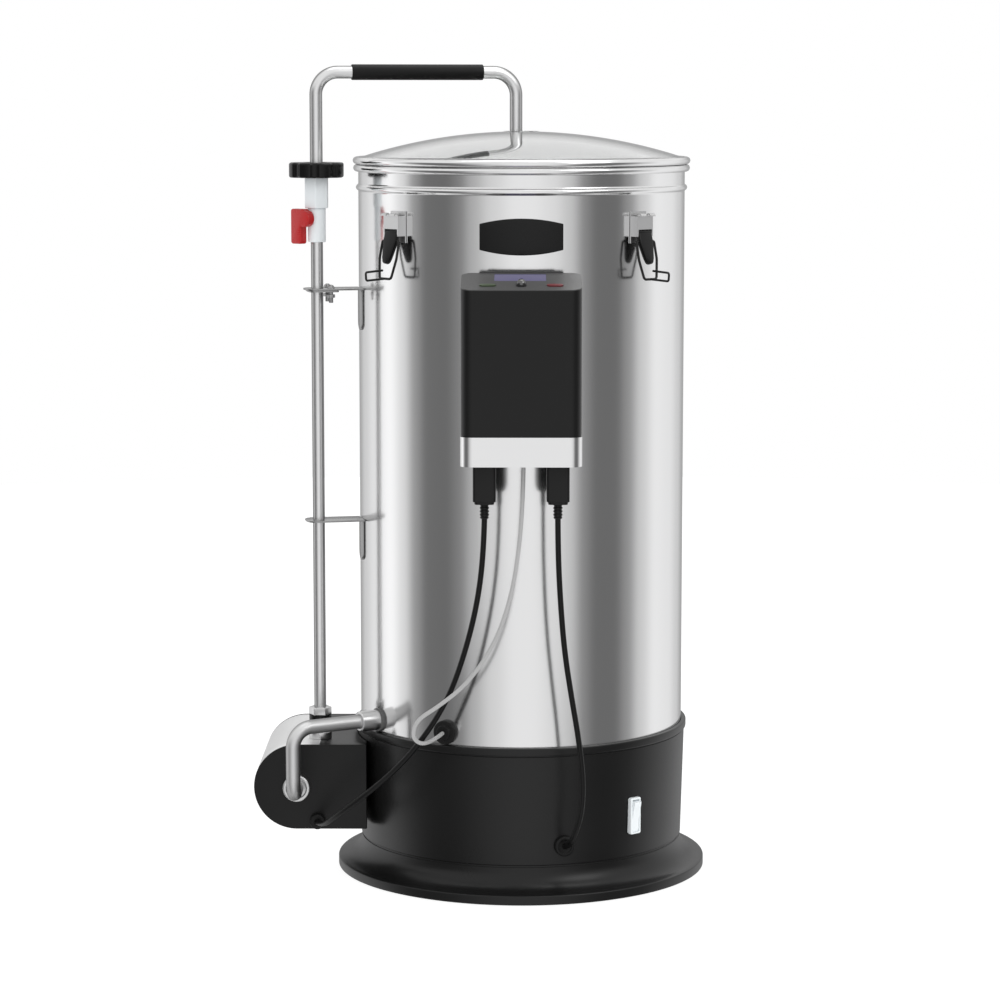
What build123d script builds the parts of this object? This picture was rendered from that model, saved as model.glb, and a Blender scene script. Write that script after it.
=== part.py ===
"""Electric all-in-one brewer: a boiler on a heated base, with a wall-hung controller, a side pump,
a recirculation pipe over a glass lid, and a grain basket inside.

Millimetres, +Z up. The origin is on the boiler's axis at the height of the floor that it stands on.
The controller faces -Y and the pump is at -X.
"""
import math
import os

from build123d import *

os.makedirs("parts", exist_ok=True)

# ---- driving dimensions ----------------------------------------------------------------------
WALL_R = 150.0  # outside of the boiler's steel wall
WALL = 1.2  # sheet thickness of the boiler
FLOOR_Z = 137.0  # underside of the boiler's floor
SHELL_FOOT_Z = 134.0  # lower edge of the wall, inside the skirt's lip
BEAD_Z = 634.3  # pressed stiffening bead
RIM_Z = 652.0  # rolled rim
LID_BEAD_Z = 658.75  # steel rim of the lid
GLASS_T = 4.0
DOME_R = 481.0  # outer radius of curvature of the glass
DOME_TOP_Z = 685.0
LID_HOLE_R = 14.0

SKIRT_TOP_Z = 139.5
RING_R = 171.7  # outer edge of the base ring
RING_EDGE_Z = 9.0
SHEET = 3.0  # wall thickness of the moulded parts
FOOT_T = 3.0

PUMP_X, PUMP_Z = -206.0, 87.3  # pump axis, which runs along Y
PUMP_R = 39.5
PUMP_FRONT_Y, PUMP_REAR_Y = -75.0, 71.0
PUMP_END_X = -141.7
PUMP_SHEET = 2.5

RISER_X, RISER_Y = -186.0, -42.0
RISER_R = 5.5
RISER_D = math.hypot(RISER_X, RISER_Y)  # distance of the riser from the boiler's axis
RISER_ANGLE = math.degrees(math.atan2(-RISER_Y, -RISER_X))  # turned from -X towards -Y
TUBE_R = 5.75  # top pipe
TUBE_WALL = 0.9
ARM_Z = 738.7
SPOUT_X, SPOUT_Y = -5.0, 0.0
SPOUT_END_Z = 672.5
GRIP_X = (-154.0, -35.4)
GRIP_R = 7.1
INLET_Z = 150.5
INLET_ANGLE = -60.0  # turned from the front towards the pump
INLET_R = 6.5

VALVE_Z = (585.6, 616.3)
ADAPTER_TOP_Z = 643.9
ADAPTER_AF = 20.5
NUT_TOP_Z = 657.6
NUT_R = 25.0
STEM_Z = 607.0

BOX_HALF_W = 52.0  # controller
BOX_CORNER = 10.0
BOX_FRONT_Y, BOX_REAR_Y = -224.0, -166.0
BAND_Z = (401.0, 426.7)
BAND_OUT = 0.8  # how far the metal band stands out of the case
BOX_FRONT_Z = 553.5
BOX_SLOPE = 11.0  # degrees
PANEL_T = 0.8
BUTTON_V = 14.5  # buttons' distance from the panel's front edge, along the slope
SCREEN_V = 43.0
PLUG_X, PLUG_Y = 32.0, -195.0
PLUG_Z = 366.0
RELIEF_Z = 352.5
BOOT_X, BOOT_Y, BOOT_Z = 2.0, -200.0, 399.0

POWER_CORD_D = 5.0
SENSOR_CORD_D = 3.6
HEATER_GLAND_ANGLE, HEATER_GLAND_Z = 14.9, 49.4
SENSOR_GLAND_ANGLE, SENSOR_GLAND_Z = -26.6, 151.0
GLAND_FACE_R = 157.0  # distance of the sensor gland's outer face from the axis
SKIRT_GLAND_FACE_R = 155.0
PUMP_GLAND_X, PUMP_GLAND_Z = -187.0, 55.5

SWITCH_ANGLE, SWITCH_Z = 42.0, 70.1
SWITCH_W, SWITCH_H = 12.4, 33.4
SWITCH_TILT = 8.0

LATCH_ANGLES = (-46.6, 43.4, 133.4, -136.6)
LATCH_PIN_Y, LATCH_PIN_Z = -157.4, 597.5
LATCH_LEAN = 16.0  # degrees that a closed lever leans out from the wall
BAIL_PIN_DROP = 8.0  # from the lever's pin, along the lever
CLIP_TOP_Z = 612.0
CURL_R = 2.6
WIRE_R = 1.15

BASKET_R = 135.0
BASKET_Z = (165.0, 600.0)
SCREEN_T = 1.5
BOTTOM_SCREEN_Z, TOP_SCREEN_Z = 170.0, 500.0
OVERFLOW_R = 11.0

RUN_FIT = 0.05  # radial clearance of a running fit


# ---- helpers ---------------------------------------------------------------------------------
def save(name, *solids):
    """Writes one node, as one solid or as a group of separate ones."""
    shape = solids[0] if len(solids) == 1 else Compound(children=list(solids))
    shape.label = name
    export_step(shape, f"parts/{name}.step")


def rod(r, start, end):
    """A round bar between two points."""
    a, b = Vector(*start), Vector(*end)
    return extrude(Plane(origin=a, z_dir=b - a) * Circle(r), (b - a).length)


def tube(r_out, r_in, start, end):
    return rod(r_out, start, end) - rod(r_in, start, end)


def block(x, y, z):
    """A box from its ranges along X, Y and Z."""
    centre = [(low + high) / 2 for low, high in (x, y, z)]
    return Pos(*centre) * Box(x[1] - x[0], y[1] - y[0], z[1] - z[0])


def turned(*edges):
    """A body turned about Z from an outline in the XZ plane."""
    return revolve(make_face(edges), Axis.Z)


def lines(*points):
    return Polyline(*[(r, 0, z) for r, z in points])


def arc(start, middle, end):
    return ThreePointArc(*[(r, 0, z) for r, z in (start, middle, end)])


def pipe(points, radii, r_out, r_in=0.0):
    """A bent pipe along straight runs joined by arcs, with an optional bore."""
    path = FilletPolyline(*points, radius=radii) if radii else Polyline(*points)
    section = Circle(r_out) - Circle(r_in) if r_in else Circle(r_out)
    start = Vector(*points[0])
    return sweep(Plane(origin=start, z_dir=Vector(*points[1]) - start) * section, path)


def on_wall(shape, angle):
    """Turns a shape made at the front (-Y) to its place around the boiler."""
    return shape.rotate(Axis.Z, angle)


def on_riser(shape):
    """Turns a shape made on the -X axis to the riser's place."""
    return shape.rotate(Axis.Z, RISER_ANGLE)


def wall_point(angle, r, z):
    a = math.radians(angle)
    return (r * math.sin(a), -r * math.cos(a), z)


def clear_of_wall(shape, r=WALL_R + 0.05):
    return shape - Cylinder(r, 2000)


# ---- boiler ----------------------------------------------------------------------------------
def boiler():
    inner = WALL_R - WALL
    shell = turned(
        lines((WALL_R, SHELL_FOOT_Z), (WALL_R, BEAD_Z - 2.7)),
        arc((WALL_R, BEAD_Z - 2.7), (WALL_R + 2.2, BEAD_Z), (WALL_R, BEAD_Z + 2.7)),
        lines((WALL_R, BEAD_Z + 2.7), (WALL_R, RIM_Z - 3)),
        arc((WALL_R, RIM_Z - 3), (WALL_R + 4.6, RIM_Z), (WALL_R, RIM_Z + 3)),
        lines((WALL_R, RIM_Z + 3), (inner, RIM_Z + 3), (inner, BEAD_Z + 2.2)),
        arc((inner, BEAD_Z + 2.2), (inner + 1.9, BEAD_Z), (inner, BEAD_Z - 2.2)),
        lines(
            (inner, BEAD_Z - 2.2), (inner, FLOOR_Z + WALL), (0, FLOOR_Z + WALL),
            (0, FLOOR_Z), (inner, FLOOR_Z), (inner, SHELL_FOOT_Z), (WALL_R, SHELL_FOOT_Z),
        ),
    )
    shell -= rod(7.6, wall_point(INLET_ANGLE, 130, INLET_Z), wall_point(INLET_ANGLE, 160, INLET_Z))
    sensor = wall_point(SENSOR_GLAND_ANGLE, 130, SENSOR_GLAND_Z)
    shell -= rod(5.1, sensor, wall_point(SENSOR_GLAND_ANGLE, 160, SENSOR_GLAND_Z))
    save("boiler_shell", shell)

    save("heat_spreader", Pos(0, 0, 133.8) * Cylinder(128, 6.2))
    gap = 20.0  # degrees between the element's two ends, at the front
    element = (Pos(0, 0, 125.4) * Torus(92, 5.2, major_angle=360 - gap)).rotate(Axis.Z, -90 + gap / 2)
    for side in (-1, 1):
        x, y, _ = wall_point(side * (gap / 2 - 0.6), 92, 0)
        element += rod(4.2, (x, y, 100), (x, y, 126))
    cutout = Pos(0, 0, 126.6) * Cylinder(9.5, 8)
    for x in (-6, 6):
        cutout += block((x - 2.4, x + 2.4), (-0.5, 0.5), (112, 123))
    save("heating_element", element, cutout)


def lid():
    rim = turned(
        lines((147.8, 655.9), (150.2, 655.9)),
        arc((150.2, 655.9), (155.0, LID_BEAD_Z), (150.2, 661.6)),
        lines(
            (150.2, 661.6), (149.3, 661.6), (149.3, 656.9), (143.5, 656.9), (143.5, 655.5),
            (146.4, 655.5), (146.4, 646), (147.6, 646), (147.8, 655.9),
        ),
    )
    save("lid_rim", rim)
    centre_z = DOME_TOP_Z - DOME_R
    glass = Pos(0, 0, centre_z) * (Sphere(DOME_R) - Sphere(DOME_R - GLASS_T))
    save("lid_glass", glass & Pos(0, 0, 700) * (Cylinder(149.0, 100) - Cylinder(LID_HOLE_R, 100)))
    top, half = DOME_TOP_Z, GLASS_T / 2
    trim = turned(lines(
        (13.0, top + 0.4), (16.2, top + 0.3), (16.6, top), (LID_HOLE_R - 0.05, top + 0.1),
        (LID_HOLE_R - 0.05, top - 2 * half - 0.4), (16.6, top - 2 * half - 0.6),
        (16.6, top - 2 * half - 1.4), (13.0, top - 2 * half - 1.4), (13.0, top + 0.4),
    ))
    dome_gap = Pos(0, 0, centre_z) * (Sphere(DOME_R + 0.02) - Sphere(DOME_R - GLASS_T - 0.02))
    gasket = turned(lines(
        (144.5, 656.95), (148.9, 656.95), (148.9, 657.15), (144.5, 657.85), (144.5, 656.95),
    ))
    save("lid_seals", trim - (dome_gap - Cylinder(LID_HOLE_R - 0.02, 3000)), gasket)


# ---- base ------------------------------------------------------------------------------------
def base():
    skirt = turned(
        lines(
            (150.25, SKIRT_TOP_Z), (153.7, SKIRT_TOP_Z), (154.5, SKIRT_TOP_Z - 0.9), (154.5, 133.4),
            (153.9, 132.6), (152.3, 132.0), (152.8, 131.0), (150.0, 32.0), (149.0, 31.4),
            (149.0, 30.2), (149.7, 29.5),
        ),
        arc((149.7, 29.5), (155.5, 16.2), (168.8, 10.2)),
        lines(
            (168.8, 10.2), (170.9, RING_EDGE_Z + 0.6), (RING_R, RING_EDGE_Z - 0.6), (RING_R, 1.0),
            (168.7, 1.0), (168.7, 7.0),
        ),
        arc((168.7, 7.0), (152.9, 13.6), (146.4, 29.0)),
        lines(
            (146.4, 29.0), (146.8, 33.0), (149.4, 128.0), (146.5, 129.0), (146.5, 133.9),
            (150.25, 133.9), (150.25, SKIRT_TOP_Z),
        ),
    )
    switch_hole = block((-4.8 - 0.8, 4.8 + 0.8), (-170, -140), (SWITCH_Z - 15.8, SWITCH_Z + 15.8))
    skirt -= on_wall(switch_hole, SWITCH_ANGLE)
    gland_in = wall_point(HEATER_GLAND_ANGLE, 140, HEATER_GLAND_Z)
    skirt -= rod(5.1, gland_in, wall_point(HEATER_GLAND_ANGLE, 160, HEATER_GLAND_Z))
    skirt -= rod(6.0, (-160, 0, PUMP_Z), (-140, 0, PUMP_Z))
    save("base_skirt", skirt)

    plate = Pos(0, 0, 4.3) * Cylinder(168.4, 2.4)
    for ring_r, slots in ((60, 8), (90, 12)):
        for i in range(slots):
            slot = Pos(ring_r, 0, 4.3) * Box(18, 5, 4)
            plate -= slot.rotate(Axis.Z, 360 / slots * i)
    save("base_plate", plate)
    save("foot_ring", turned(lines((157, 0), (168, 0), (168, FOOT_T), (157, FOOT_T), (157, 0))))
    screws = []
    for i in range(6):
        cross = Box(4.4, 0.8, 1) + Box(0.8, 4.4, 1)
        screw = Pos(0, 0, 2.3) * Cylinder(3.6, 1.5) - Pos(0, 0, 1.9) * cross
        screws.append((Pos(148, 0, 0) * screw).rotate(Axis.Z, 60 * i + 15))
    for x, z in ((-232, PUMP_Z), (-165, 118), (-165, 57)):
        screws.append(Pos(x, PUMP_REAR_Y + 0.72, z) * Rot(90, 0, 0) * Cylinder(2.6, 1.4))
    save("cover_screws", *screws)

    # rocker switch, with its pivot axis along X when made at the front
    face_y, pivot_y = -156.0, -150.5
    half_w, half_h = SWITCH_W / 2, SWITCH_H / 2
    frame = block((-half_w, half_w), (face_y, -152.4), (SWITCH_Z - half_h, SWITCH_Z + half_h))
    frame = fillet(frame.edges().filter_by(Axis.Y), 1.6)
    frame = chamfer(frame.edges().group_by(Axis.Y)[0], 0.5)
    frame += block((-5.4, 5.4), (-153, -138), (SWITCH_Z - 15.6, SWITCH_Z + 15.6))
    frame -= block((-4.3, 4.3), (-160, -141), (SWITCH_Z - 14.9, SWITCH_Z + 14.9))
    cap = block((-4.0, 4.0), (face_y - 0.9, -147.0), (SWITCH_Z - 14.0, SWITCH_Z + 14.0))
    dish = Pos(0, face_y - 60.0, SWITCH_Z) * Rot(0, 90, 0) * Cylinder(59.9, 20)
    cap = cap - dish - Pos(0, pivot_y, SWITCH_Z) * Rot(0, 90, 0) * Cylinder(1.25, 20)
    tilted = cap.rotate(Axis((0, pivot_y, SWITCH_Z), (1, 0, 0)), SWITCH_TILT)
    save("switch_rocker", on_wall(tilted, SWITCH_ANGLE))
    frame += rod(1.2, (-4.6, pivot_y, SWITCH_Z), (4.6, pivot_y, SWITCH_Z))
    save("switch_housing", on_wall(frame, SWITCH_ANGLE))

    gland = rod(9.2, (0, -SKIRT_GLAND_FACE_R, HEATER_GLAND_Z), (0, -140, HEATER_GLAND_Z))
    gland = chamfer(gland.edges().sort_by(Axis.Y)[0], 1.2) - Cylinder(150.9, 400)
    gland += rod(5.0, (0, -152, HEATER_GLAND_Z), (0, -144, HEATER_GLAND_Z))
    return on_wall(gland, HEATER_GLAND_ANGLE)


# ---- pump ------------------------------------------------------------------------------------
def pump_outline(inset):
    """The pump case's cross-section as a solid along Y: a round nose with a square back."""
    r = PUMP_R - inset
    nose = Plane(origin=(PUMP_X, PUMP_FRONT_Y + inset, PUMP_Z), z_dir=(0, 1, 0)) * Circle(r)
    length = PUMP_REAR_Y - PUMP_FRONT_Y
    body = extrude(nose, length)
    y = (PUMP_FRONT_Y + inset, PUMP_FRONT_Y + inset + length)
    body += block((PUMP_X, PUMP_END_X - inset), y, (PUMP_Z - r, PUMP_Z + r))
    return body - Cylinder(153.3 + inset, 600)


def pump():
    cover_t = 2.5
    outside = pump_outline(0.0) & block((-300, -100), (-100, PUMP_REAR_Y - cover_t), (0, 200))
    case = outside - pump_outline(PUMP_SHEET)
    case -= rod(7.4, (PUMP_X, -90, PUMP_Z), (PUMP_X, -60, PUMP_Z))
    case -= rod(9.3, (RISER_X, RISER_Y, 110), (RISER_X, RISER_Y, 140))
    case -= rod(4.1, (PUMP_GLAND_X, -90, PUMP_GLAND_Z), (PUMP_GLAND_X, -60, PUMP_GLAND_Z))
    case -= rod(6.0, (-160, 0, PUMP_Z), (-140, 0, PUMP_Z))
    save("pump_case", case)
    cover = pump_outline(0.0) & block((-300, -100), (PUMP_REAR_Y - cover_t, PUMP_REAR_Y), (0, 200))
    for z in (-12, 0, 12):
        cover -= block((PUMP_X - 20, PUMP_X + 20), (60, 80), (PUMP_Z + z - 1.5, PUMP_Z + z + 1.5))
    save("pump_rear_cover", cover)
    volute = rod(28, (PUMP_X, -54, PUMP_Z), (PUMP_X, -31, PUMP_Z))
    volute += rod(9.15, (RISER_X, RISER_Y, PUMP_Z), (RISER_X, RISER_Y, 133.45))
    volute += rod(10.2, (RISER_X, RISER_Y, 133.45), (RISER_X, RISER_Y, 149))
    volute += rod(7.2, (PUMP_X, -74, PUMP_Z), (PUMP_X, -50, PUMP_Z))
    volute -= rod(24, (PUMP_X, -51, PUMP_Z), (PUMP_X, -34, PUMP_Z))
    volute -= rod(RISER_R + 0.03, (RISER_X, RISER_Y, 127.9), (RISER_X, RISER_Y, 150))
    volute -= rod(4.4, (RISER_X, RISER_Y, PUMP_Z), (RISER_X, RISER_Y, 130))
    volute -= rod(5.2, (PUMP_X, -75, PUMP_Z), (PUMP_X, -50, PUMP_Z))
    volute -= rod(3 + RUN_FIT, (PUMP_X, -40, PUMP_Z), (PUMP_X, -30, PUMP_Z))
    save("pump_volute", volute)
    motor = rod(31, (PUMP_X, -30.9, PUMP_Z), (PUMP_X, 42, PUMP_Z))
    motor -= rod(12, (PUMP_X, -28, PUMP_Z), (PUMP_X, 38, PUMP_Z))
    motor -= rod(3 + RUN_FIT, (PUMP_X, -31, PUMP_Z), (PUMP_X, 40, PUMP_Z))
    save("pump_motor", motor)
    wheel = rod(21, (PUMP_X, -40, PUMP_Z), (PUMP_X, -37.5, PUMP_Z))
    wheel += rod(5, (PUMP_X, -46, PUMP_Z), (PUMP_X, -37.5, PUMP_Z))
    for i in range(6):
        blade = Pos(PUMP_X + 11.5, -42.9, PUMP_Z) * Box(17, 6.2, 1.6)
        wheel += blade.rotate(Axis((PUMP_X, 0, PUMP_Z), (0, 1, 0)), 60 * i)
    wheel += rod(3, (PUMP_X, -38, PUMP_Z), (PUMP_X, 38, PUMP_Z))
    save("pump_impeller", wheel, tube(11, 3, (PUMP_X, -25, PUMP_Z), (PUMP_X, 34, PUMP_Z)))

    flange = tube(12.6, INLET_R + 0.02, (PUMP_X, -83, PUMP_Z), (PUMP_X, PUMP_FRONT_Y - 0.02, PUMP_Z))
    flange = chamfer(flange.edges().sort_by(Axis.Y)[0], 1.0)
    top = PUMP_Z + PUMP_R
    collar = tube(10.6, 9.2, (RISER_X, RISER_Y, top + 0.05), (RISER_X, RISER_Y, 133.4))
    nut = Pos(RISER_X, RISER_Y, 149.1) * extrude(RegularPolygon(10.6, 6), 7)
    nut -= rod(RISER_R + 0.05, (RISER_X, RISER_Y, 140), (RISER_X, RISER_Y, 160))

    def at_inlet(r):
        return wall_point(INLET_ANGLE, r, INLET_Z)

    locknut = tube(10.5, 7.0, at_inlet(142.2), at_inlet(148))
    socket = tube(9.3, INLET_R + 0.05, at_inlet(152.4), at_inlet(171))
    save("pipe_fittings", flange, collar, nut, locknut, socket)

    gland = rod(7.0, (PUMP_GLAND_X, -81, PUMP_GLAND_Z), (PUMP_GLAND_X, -75.05, PUMP_GLAND_Z))
    return gland + rod(4.0, (PUMP_GLAND_X, -76, PUMP_GLAND_Z), (PUMP_GLAND_X, -70, PUMP_GLAND_Z))


# ---- pipework --------------------------------------------------------------------------------
def pipework():
    corner_r = 18.0
    start = wall_point(INLET_ANGLE, 143, INLET_Z)
    knee = (PUMP_X, -119.0, INLET_Z)
    route = [start, knee, (PUMP_X, -119.0, PUMP_Z), (PUMP_X, PUMP_FRONT_Y + 0.9, PUMP_Z)]
    save("inlet_pipe", pipe(route, [corner_r, corner_r], INLET_R, INLET_R - 1.0))
    washer_ends = [wall_point(INLET_ANGLE, r, INLET_Z) for r in (146, 152.3)]
    washer = tube(10.6, INLET_R + 0.05, *washer_ends)
    union_seal = tube(9.6, 6.6, (RISER_X, RISER_Y, 649.42), (RISER_X, RISER_Y, 650.15))
    save("pipe_seals", clear_of_wall(washer), union_seal)

    foot, head = (RISER_X, RISER_Y, 128), (RISER_X, RISER_Y, VALVE_Z[0] + 6)
    save("riser_pipe", tube(RISER_R, RISER_R - TUBE_WALL, foot, head))

    # brackets are made on the -X axis, with the riser at RISER_D
    strap_t = 1.6
    brackets = []
    upper_z, lower_z = 543.7, 331.3
    drop = 39.0
    for top_z in (upper_z, lower_z):
        flange = block((-WALL_R - 0.1 - strap_t, -WALL_R - 0.1), (-9, 9), (top_z - drop + 9, top_z))
        round_end = Rot(0, 90, 0) * Cylinder(9, strap_t)
        flange += Pos(-WALL_R - 0.1 - strap_t / 2, 0, top_z - drop + 9) * round_end
        strap = block((-RISER_D - 12, -WALL_R - 0.1), (-15, 15), (top_z - strap_t, top_z))
        strap = fillet(strap.edges().filter_by(Axis.Z).sort_by(Axis.X)[:2], 10)
        bracket = flange + strap - Pos(-RISER_D, 0, top_z) * Cylinder(RISER_R + 0.05, 10)
        brackets.append(bracket)
    for y in (-10, 10):
        brackets[0] -= Pos(-RISER_D + 11, y, upper_z) * Cylinder(2.1, 10)
    brackets = [on_riser(bracket) for bracket in brackets]
    clamp_z = upper_z - strap_t - 0.05
    clamp = block((-RISER_D - 9, -RISER_D + 18), (-14, 14), (clamp_z - strap_t, clamp_z))
    clamp -= Pos(-RISER_D, 0, clamp_z) * Cylinder(RISER_R + 0.05, 10)
    bolts = []
    for y in (-10, 10):
        clamp -= Pos(-RISER_D + 11, y, clamp_z) * Cylinder(2.1, 10)
        shank = Pos(-RISER_D + 11, y, 537.9) * Cylinder(2.0, 14.2)
        head = Pos(-RISER_D + 11, y, upper_z + 0.05) * (Sphere(3.6) & Pos(0, 0, 5) * Box(10, 10, 10))
        nut = Pos(-RISER_D + 11, y, 535.4) * extrude(RegularPolygon(3.9, 6), 3)
        bolts.append(on_riser(shank + head + nut))
    save("pipe_brackets", *brackets, on_riser(clamp), *bolts)

    top_route = [
        (RISER_X, RISER_Y, 650.2), (RISER_X, RISER_Y, ARM_Z),
        (SPOUT_X, SPOUT_Y, ARM_Z), (SPOUT_X, SPOUT_Y, SPOUT_END_Z),
    ]
    top = pipe(top_route, [20.0, 21.0], TUBE_R, TUBE_R - TUBE_WALL)
    top += tube(9.7, TUBE_R - TUBE_WALL, (RISER_X, RISER_Y, 650.2), (RISER_X, RISER_Y, 652.3))
    save("top_pipe", top)
    slope = (SPOUT_Y - RISER_Y) / (SPOUT_X - RISER_X)
    ends = [(x, RISER_Y + slope * (x - RISER_X), ARM_Z) for x in GRIP_X]
    grip = tube(GRIP_R, TUBE_R + 0.01, ends[0], ends[1])
    save("pipe_grip", grip)


def valve():
    x, y = RISER_X, RISER_Y
    low, high = VALVE_Z
    out = Vector(-1, -1, 0).normalized()  # the stem points to the front and away from the boiler

    def along(distance, z=STEM_Z):
        return (x + out.X * distance, y + out.Y * distance, z)

    body = rod(8.2, (x, y, low), (x, y, high))
    body = chamfer(body.edges(), 0.6)
    body += rod(5.2, along(0), along(8.5))
    body -= rod(RISER_R + 0.02, (x, y, low), (x, y, low + 6.02))
    body -= rod(4.0, (x, y, low), (x, y, high))
    body -= Pos(x, y, STEM_Z) * Sphere(6.5 + RUN_FIT)
    body -= rod(2.4 + RUN_FIT, along(0), along(12))
    save("valve_body", body)
    ball = Pos(x, y, STEM_Z) * Sphere(6.5) - rod(3.8, (x, y, STEM_Z - 8), (x, y, STEM_Z + 8))
    ball += rod(2.4, along(4.6), along(14.0))
    save("valve_ball", ball)

    # the lever's outline, in its own plane: x to the side that faces away, y up
    plane = Plane(origin=along(16.8), x_dir=(out.Y, -out.X, 0), z_dir=-out)
    outline = Circle(7.4) + Pos(8.4, 1.4) * RectangleRounded(17.0, 14.8, 2.2)
    outline += Pos(10.2, -8.0) * RectangleRounded(13.4, 29.8, 2.2)
    lever = extrude(plane * outline, 8.0) - rod(2.41, along(0), along(14.0))
    save("valve_lever", lever)

    hexagon = RegularPolygon(ADAPTER_AF / 2, 6, major_radius=False, rotation=30)
    adapter = Pos(x, y, high + 0.02) * extrude(hexagon, ADAPTER_TOP_Z - high)
    adapter += rod(10.0, (x, y, 640), (x, y, 649.4))
    save("adapter", adapter - rod(4.2, (x, y, 600), (x, y, 660)))

    nut = rod(NUT_R, (x, y, 643.95), (x, y, NUT_TOP_Z))
    for i in range(8):
        nut -= (Pos(NUT_R + 4.6, 0, 650) * Cylinder(6.6, 30)).rotate(Axis.Z, 45 * i).moved(Location((x, y, 0)))
    nut = chamfer(nut.edges().group_by(Axis.Z)[-1], 1.2)
    nut = chamfer(nut.edges().group_by(Axis.Z)[0], 1.2)
    nut -= rod(10.08, (x, y, 640), (x, y, 652.5))
    save("union_nut", nut - rod(TUBE_R + 0.25, (x, y, 640), (x, y, 660)))


# ---- controller ------------------------------------------------------------------------------
def box_column(inset, z_range):
    """The controller's plan outline, extruded."""
    w = 2 * (BOX_HALF_W - inset)
    depth = BOX_REAR_Y - BOX_FRONT_Y - 2 * inset
    outline = RectangleRounded(w, depth, BOX_CORNER - min(inset, 6))
    middle = (BOX_FRONT_Y + BOX_REAR_Y) / 2
    return Pos(0, middle, z_range[0]) * extrude(outline, z_range[1] - z_range[0])


def controller():
    tilt = math.radians(BOX_SLOPE)
    up = (0, -math.sin(tilt), math.cos(tilt))
    slope = Plane(origin=(0, BOX_FRONT_Y, BOX_FRONT_Z), x_dir=(1, 0, 0), z_dir=up)

    def slab(top, thickness):
        """A slab parallel to the sloping panel, its top this far above the panel's face."""
        return slope * (Pos(0, 30, top - thickness / 2) * Box(200, 160, thickness))

    column = box_column(0, (BAND_Z[1], 600))
    below = column - slab(200 - PANEL_T, 200)
    inside = box_column(SHEET, (BAND_Z[1] - 1, 600)) & slab(-PANEL_T, 300)
    save("controller_case", below - inside)
    panel = column & slab(0, PANEL_T - 0.02)
    screen_w, screen_d = 45.0, 24.0
    buttons = {"button_left": (-29.0, 14.0, 6.0), "button_right": (29.0, 14.0, 6.0)}
    panel -= slope * (Pos(-1, SCREEN_V, 0) * Box(screen_w, screen_d, 20))
    for x, w, d in buttons.values():
        hole = extrude(SlotOverall(w + 0.6, d + 0.6), 20)
        panel -= slope * (Pos(x, BUTTON_V, -10) * hole)
    panel -= slope * (Pos(0, BUTTON_V, 0) * Cylinder(4.6, 20))
    save("controller_panel", panel)
    window = slope * (Pos(-1, SCREEN_V, -0.9) * Box(screen_w - 0.2, screen_d - 0.2, 1.4))
    save("display_window", window)
    module = slope * (Pos(-1, SCREEN_V, -5.2) * Box(49, 22, 4.6))
    for name, (x, w, d) in buttons.items():
        button = extrude(SlotOverall(w, d), 4.2)
        save(name, slope * (Pos(x, BUTTON_V, -3.2) * button))
    knob = Cylinder(4.3, 5) + Pos(0, 0, 2.5) * (Sphere(4.3) & Pos(0, 0, 2) * Box(10, 10, 4))
    save("button_centre", slope * (Pos(0, BUTTON_V, -0.7) * knob))

    band = box_column(-BAND_OUT, (BAND_Z[0], BAND_Z[1] - 0.05))
    band -= box_column(SHEET, (BAND_Z[0] + 3, 500))
    for x in (-PLUG_X, PLUG_X):
        band -= Pos(x, PLUG_Y, BAND_Z[0]) * Box(23, 31, 20)
    band -= Pos(0, -180.5, BAND_Z[0]) * Box(25, 18, 20)
    band -= rod(3.3, (BOOT_X, BOOT_Y, 380), (BOOT_X, BOOT_Y, 420))
    save("controller_band", band)

    sockets = []
    for x in (-PLUG_X, PLUG_X):
        socket = Box(22.8, 30.8, 21.6) - Pos(0, 0, -3) * Box(16.4, 24.4, 19.6)
        sockets.append(Pos(x, PLUG_Y, BAND_Z[0] + 11) * socket)
    inlet = Box(24.6, 17.6, 18.6) - Pos(0, 0, -3) * Box(20, 13, 16)
    inlet = Pos(0, -180.5, BAND_Z[0] + 9.5) * inlet
    for x in (-7, 0, 7):
        inlet += Pos(x, -180.5, BAND_Z[0] + 9) * Box(2, 4, 14)
    save("power_sockets", *sockets, inlet)
    board = block((-44, 44), (-209, -207.4), (430, 538))
    save("control_board", board, module)

    bracket = block((-37.5, 37.5), (-165.95, -163.4), (430, 566))
    bracket = fillet(bracket.edges().filter_by(Axis.Y), 3)
    for x in (-27, 27):
        bracket += block((x - 4, x + 4), (-164, -130), (440, 540))
    save("controller_bracket", clear_of_wall(bracket))

    for side, name in ((-1, "pump_plug"), (1, "heater_plug")):
        x, y = side * PLUG_X, PLUG_Y
        body = block((x - 10, x + 10), (y - 14, y + 14), (PLUG_Z, BAND_Z[0] - 0.6))
        body = fillet(body.edges().filter_by(Axis.Z), 2.2)
        body = chamfer(body.edges().group_by(Axis.Z)[0], 1.0)
        body += block((x - 8, x + 8), (y - 12, y + 12), (BAND_Z[0] - 2, BAND_Z[0] + 14))
        body += Pos(x, y, (PLUG_Z + RELIEF_Z) / 2 + 0.5) * Cone(3.3, 4.0, PLUG_Z - RELIEF_Z + 1)
        save(name, body)
    return rod(3.25, (BOOT_X, BOOT_Y, BOOT_Z), (BOOT_X, BOOT_Y, BAND_Z[0] + 4))


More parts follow.
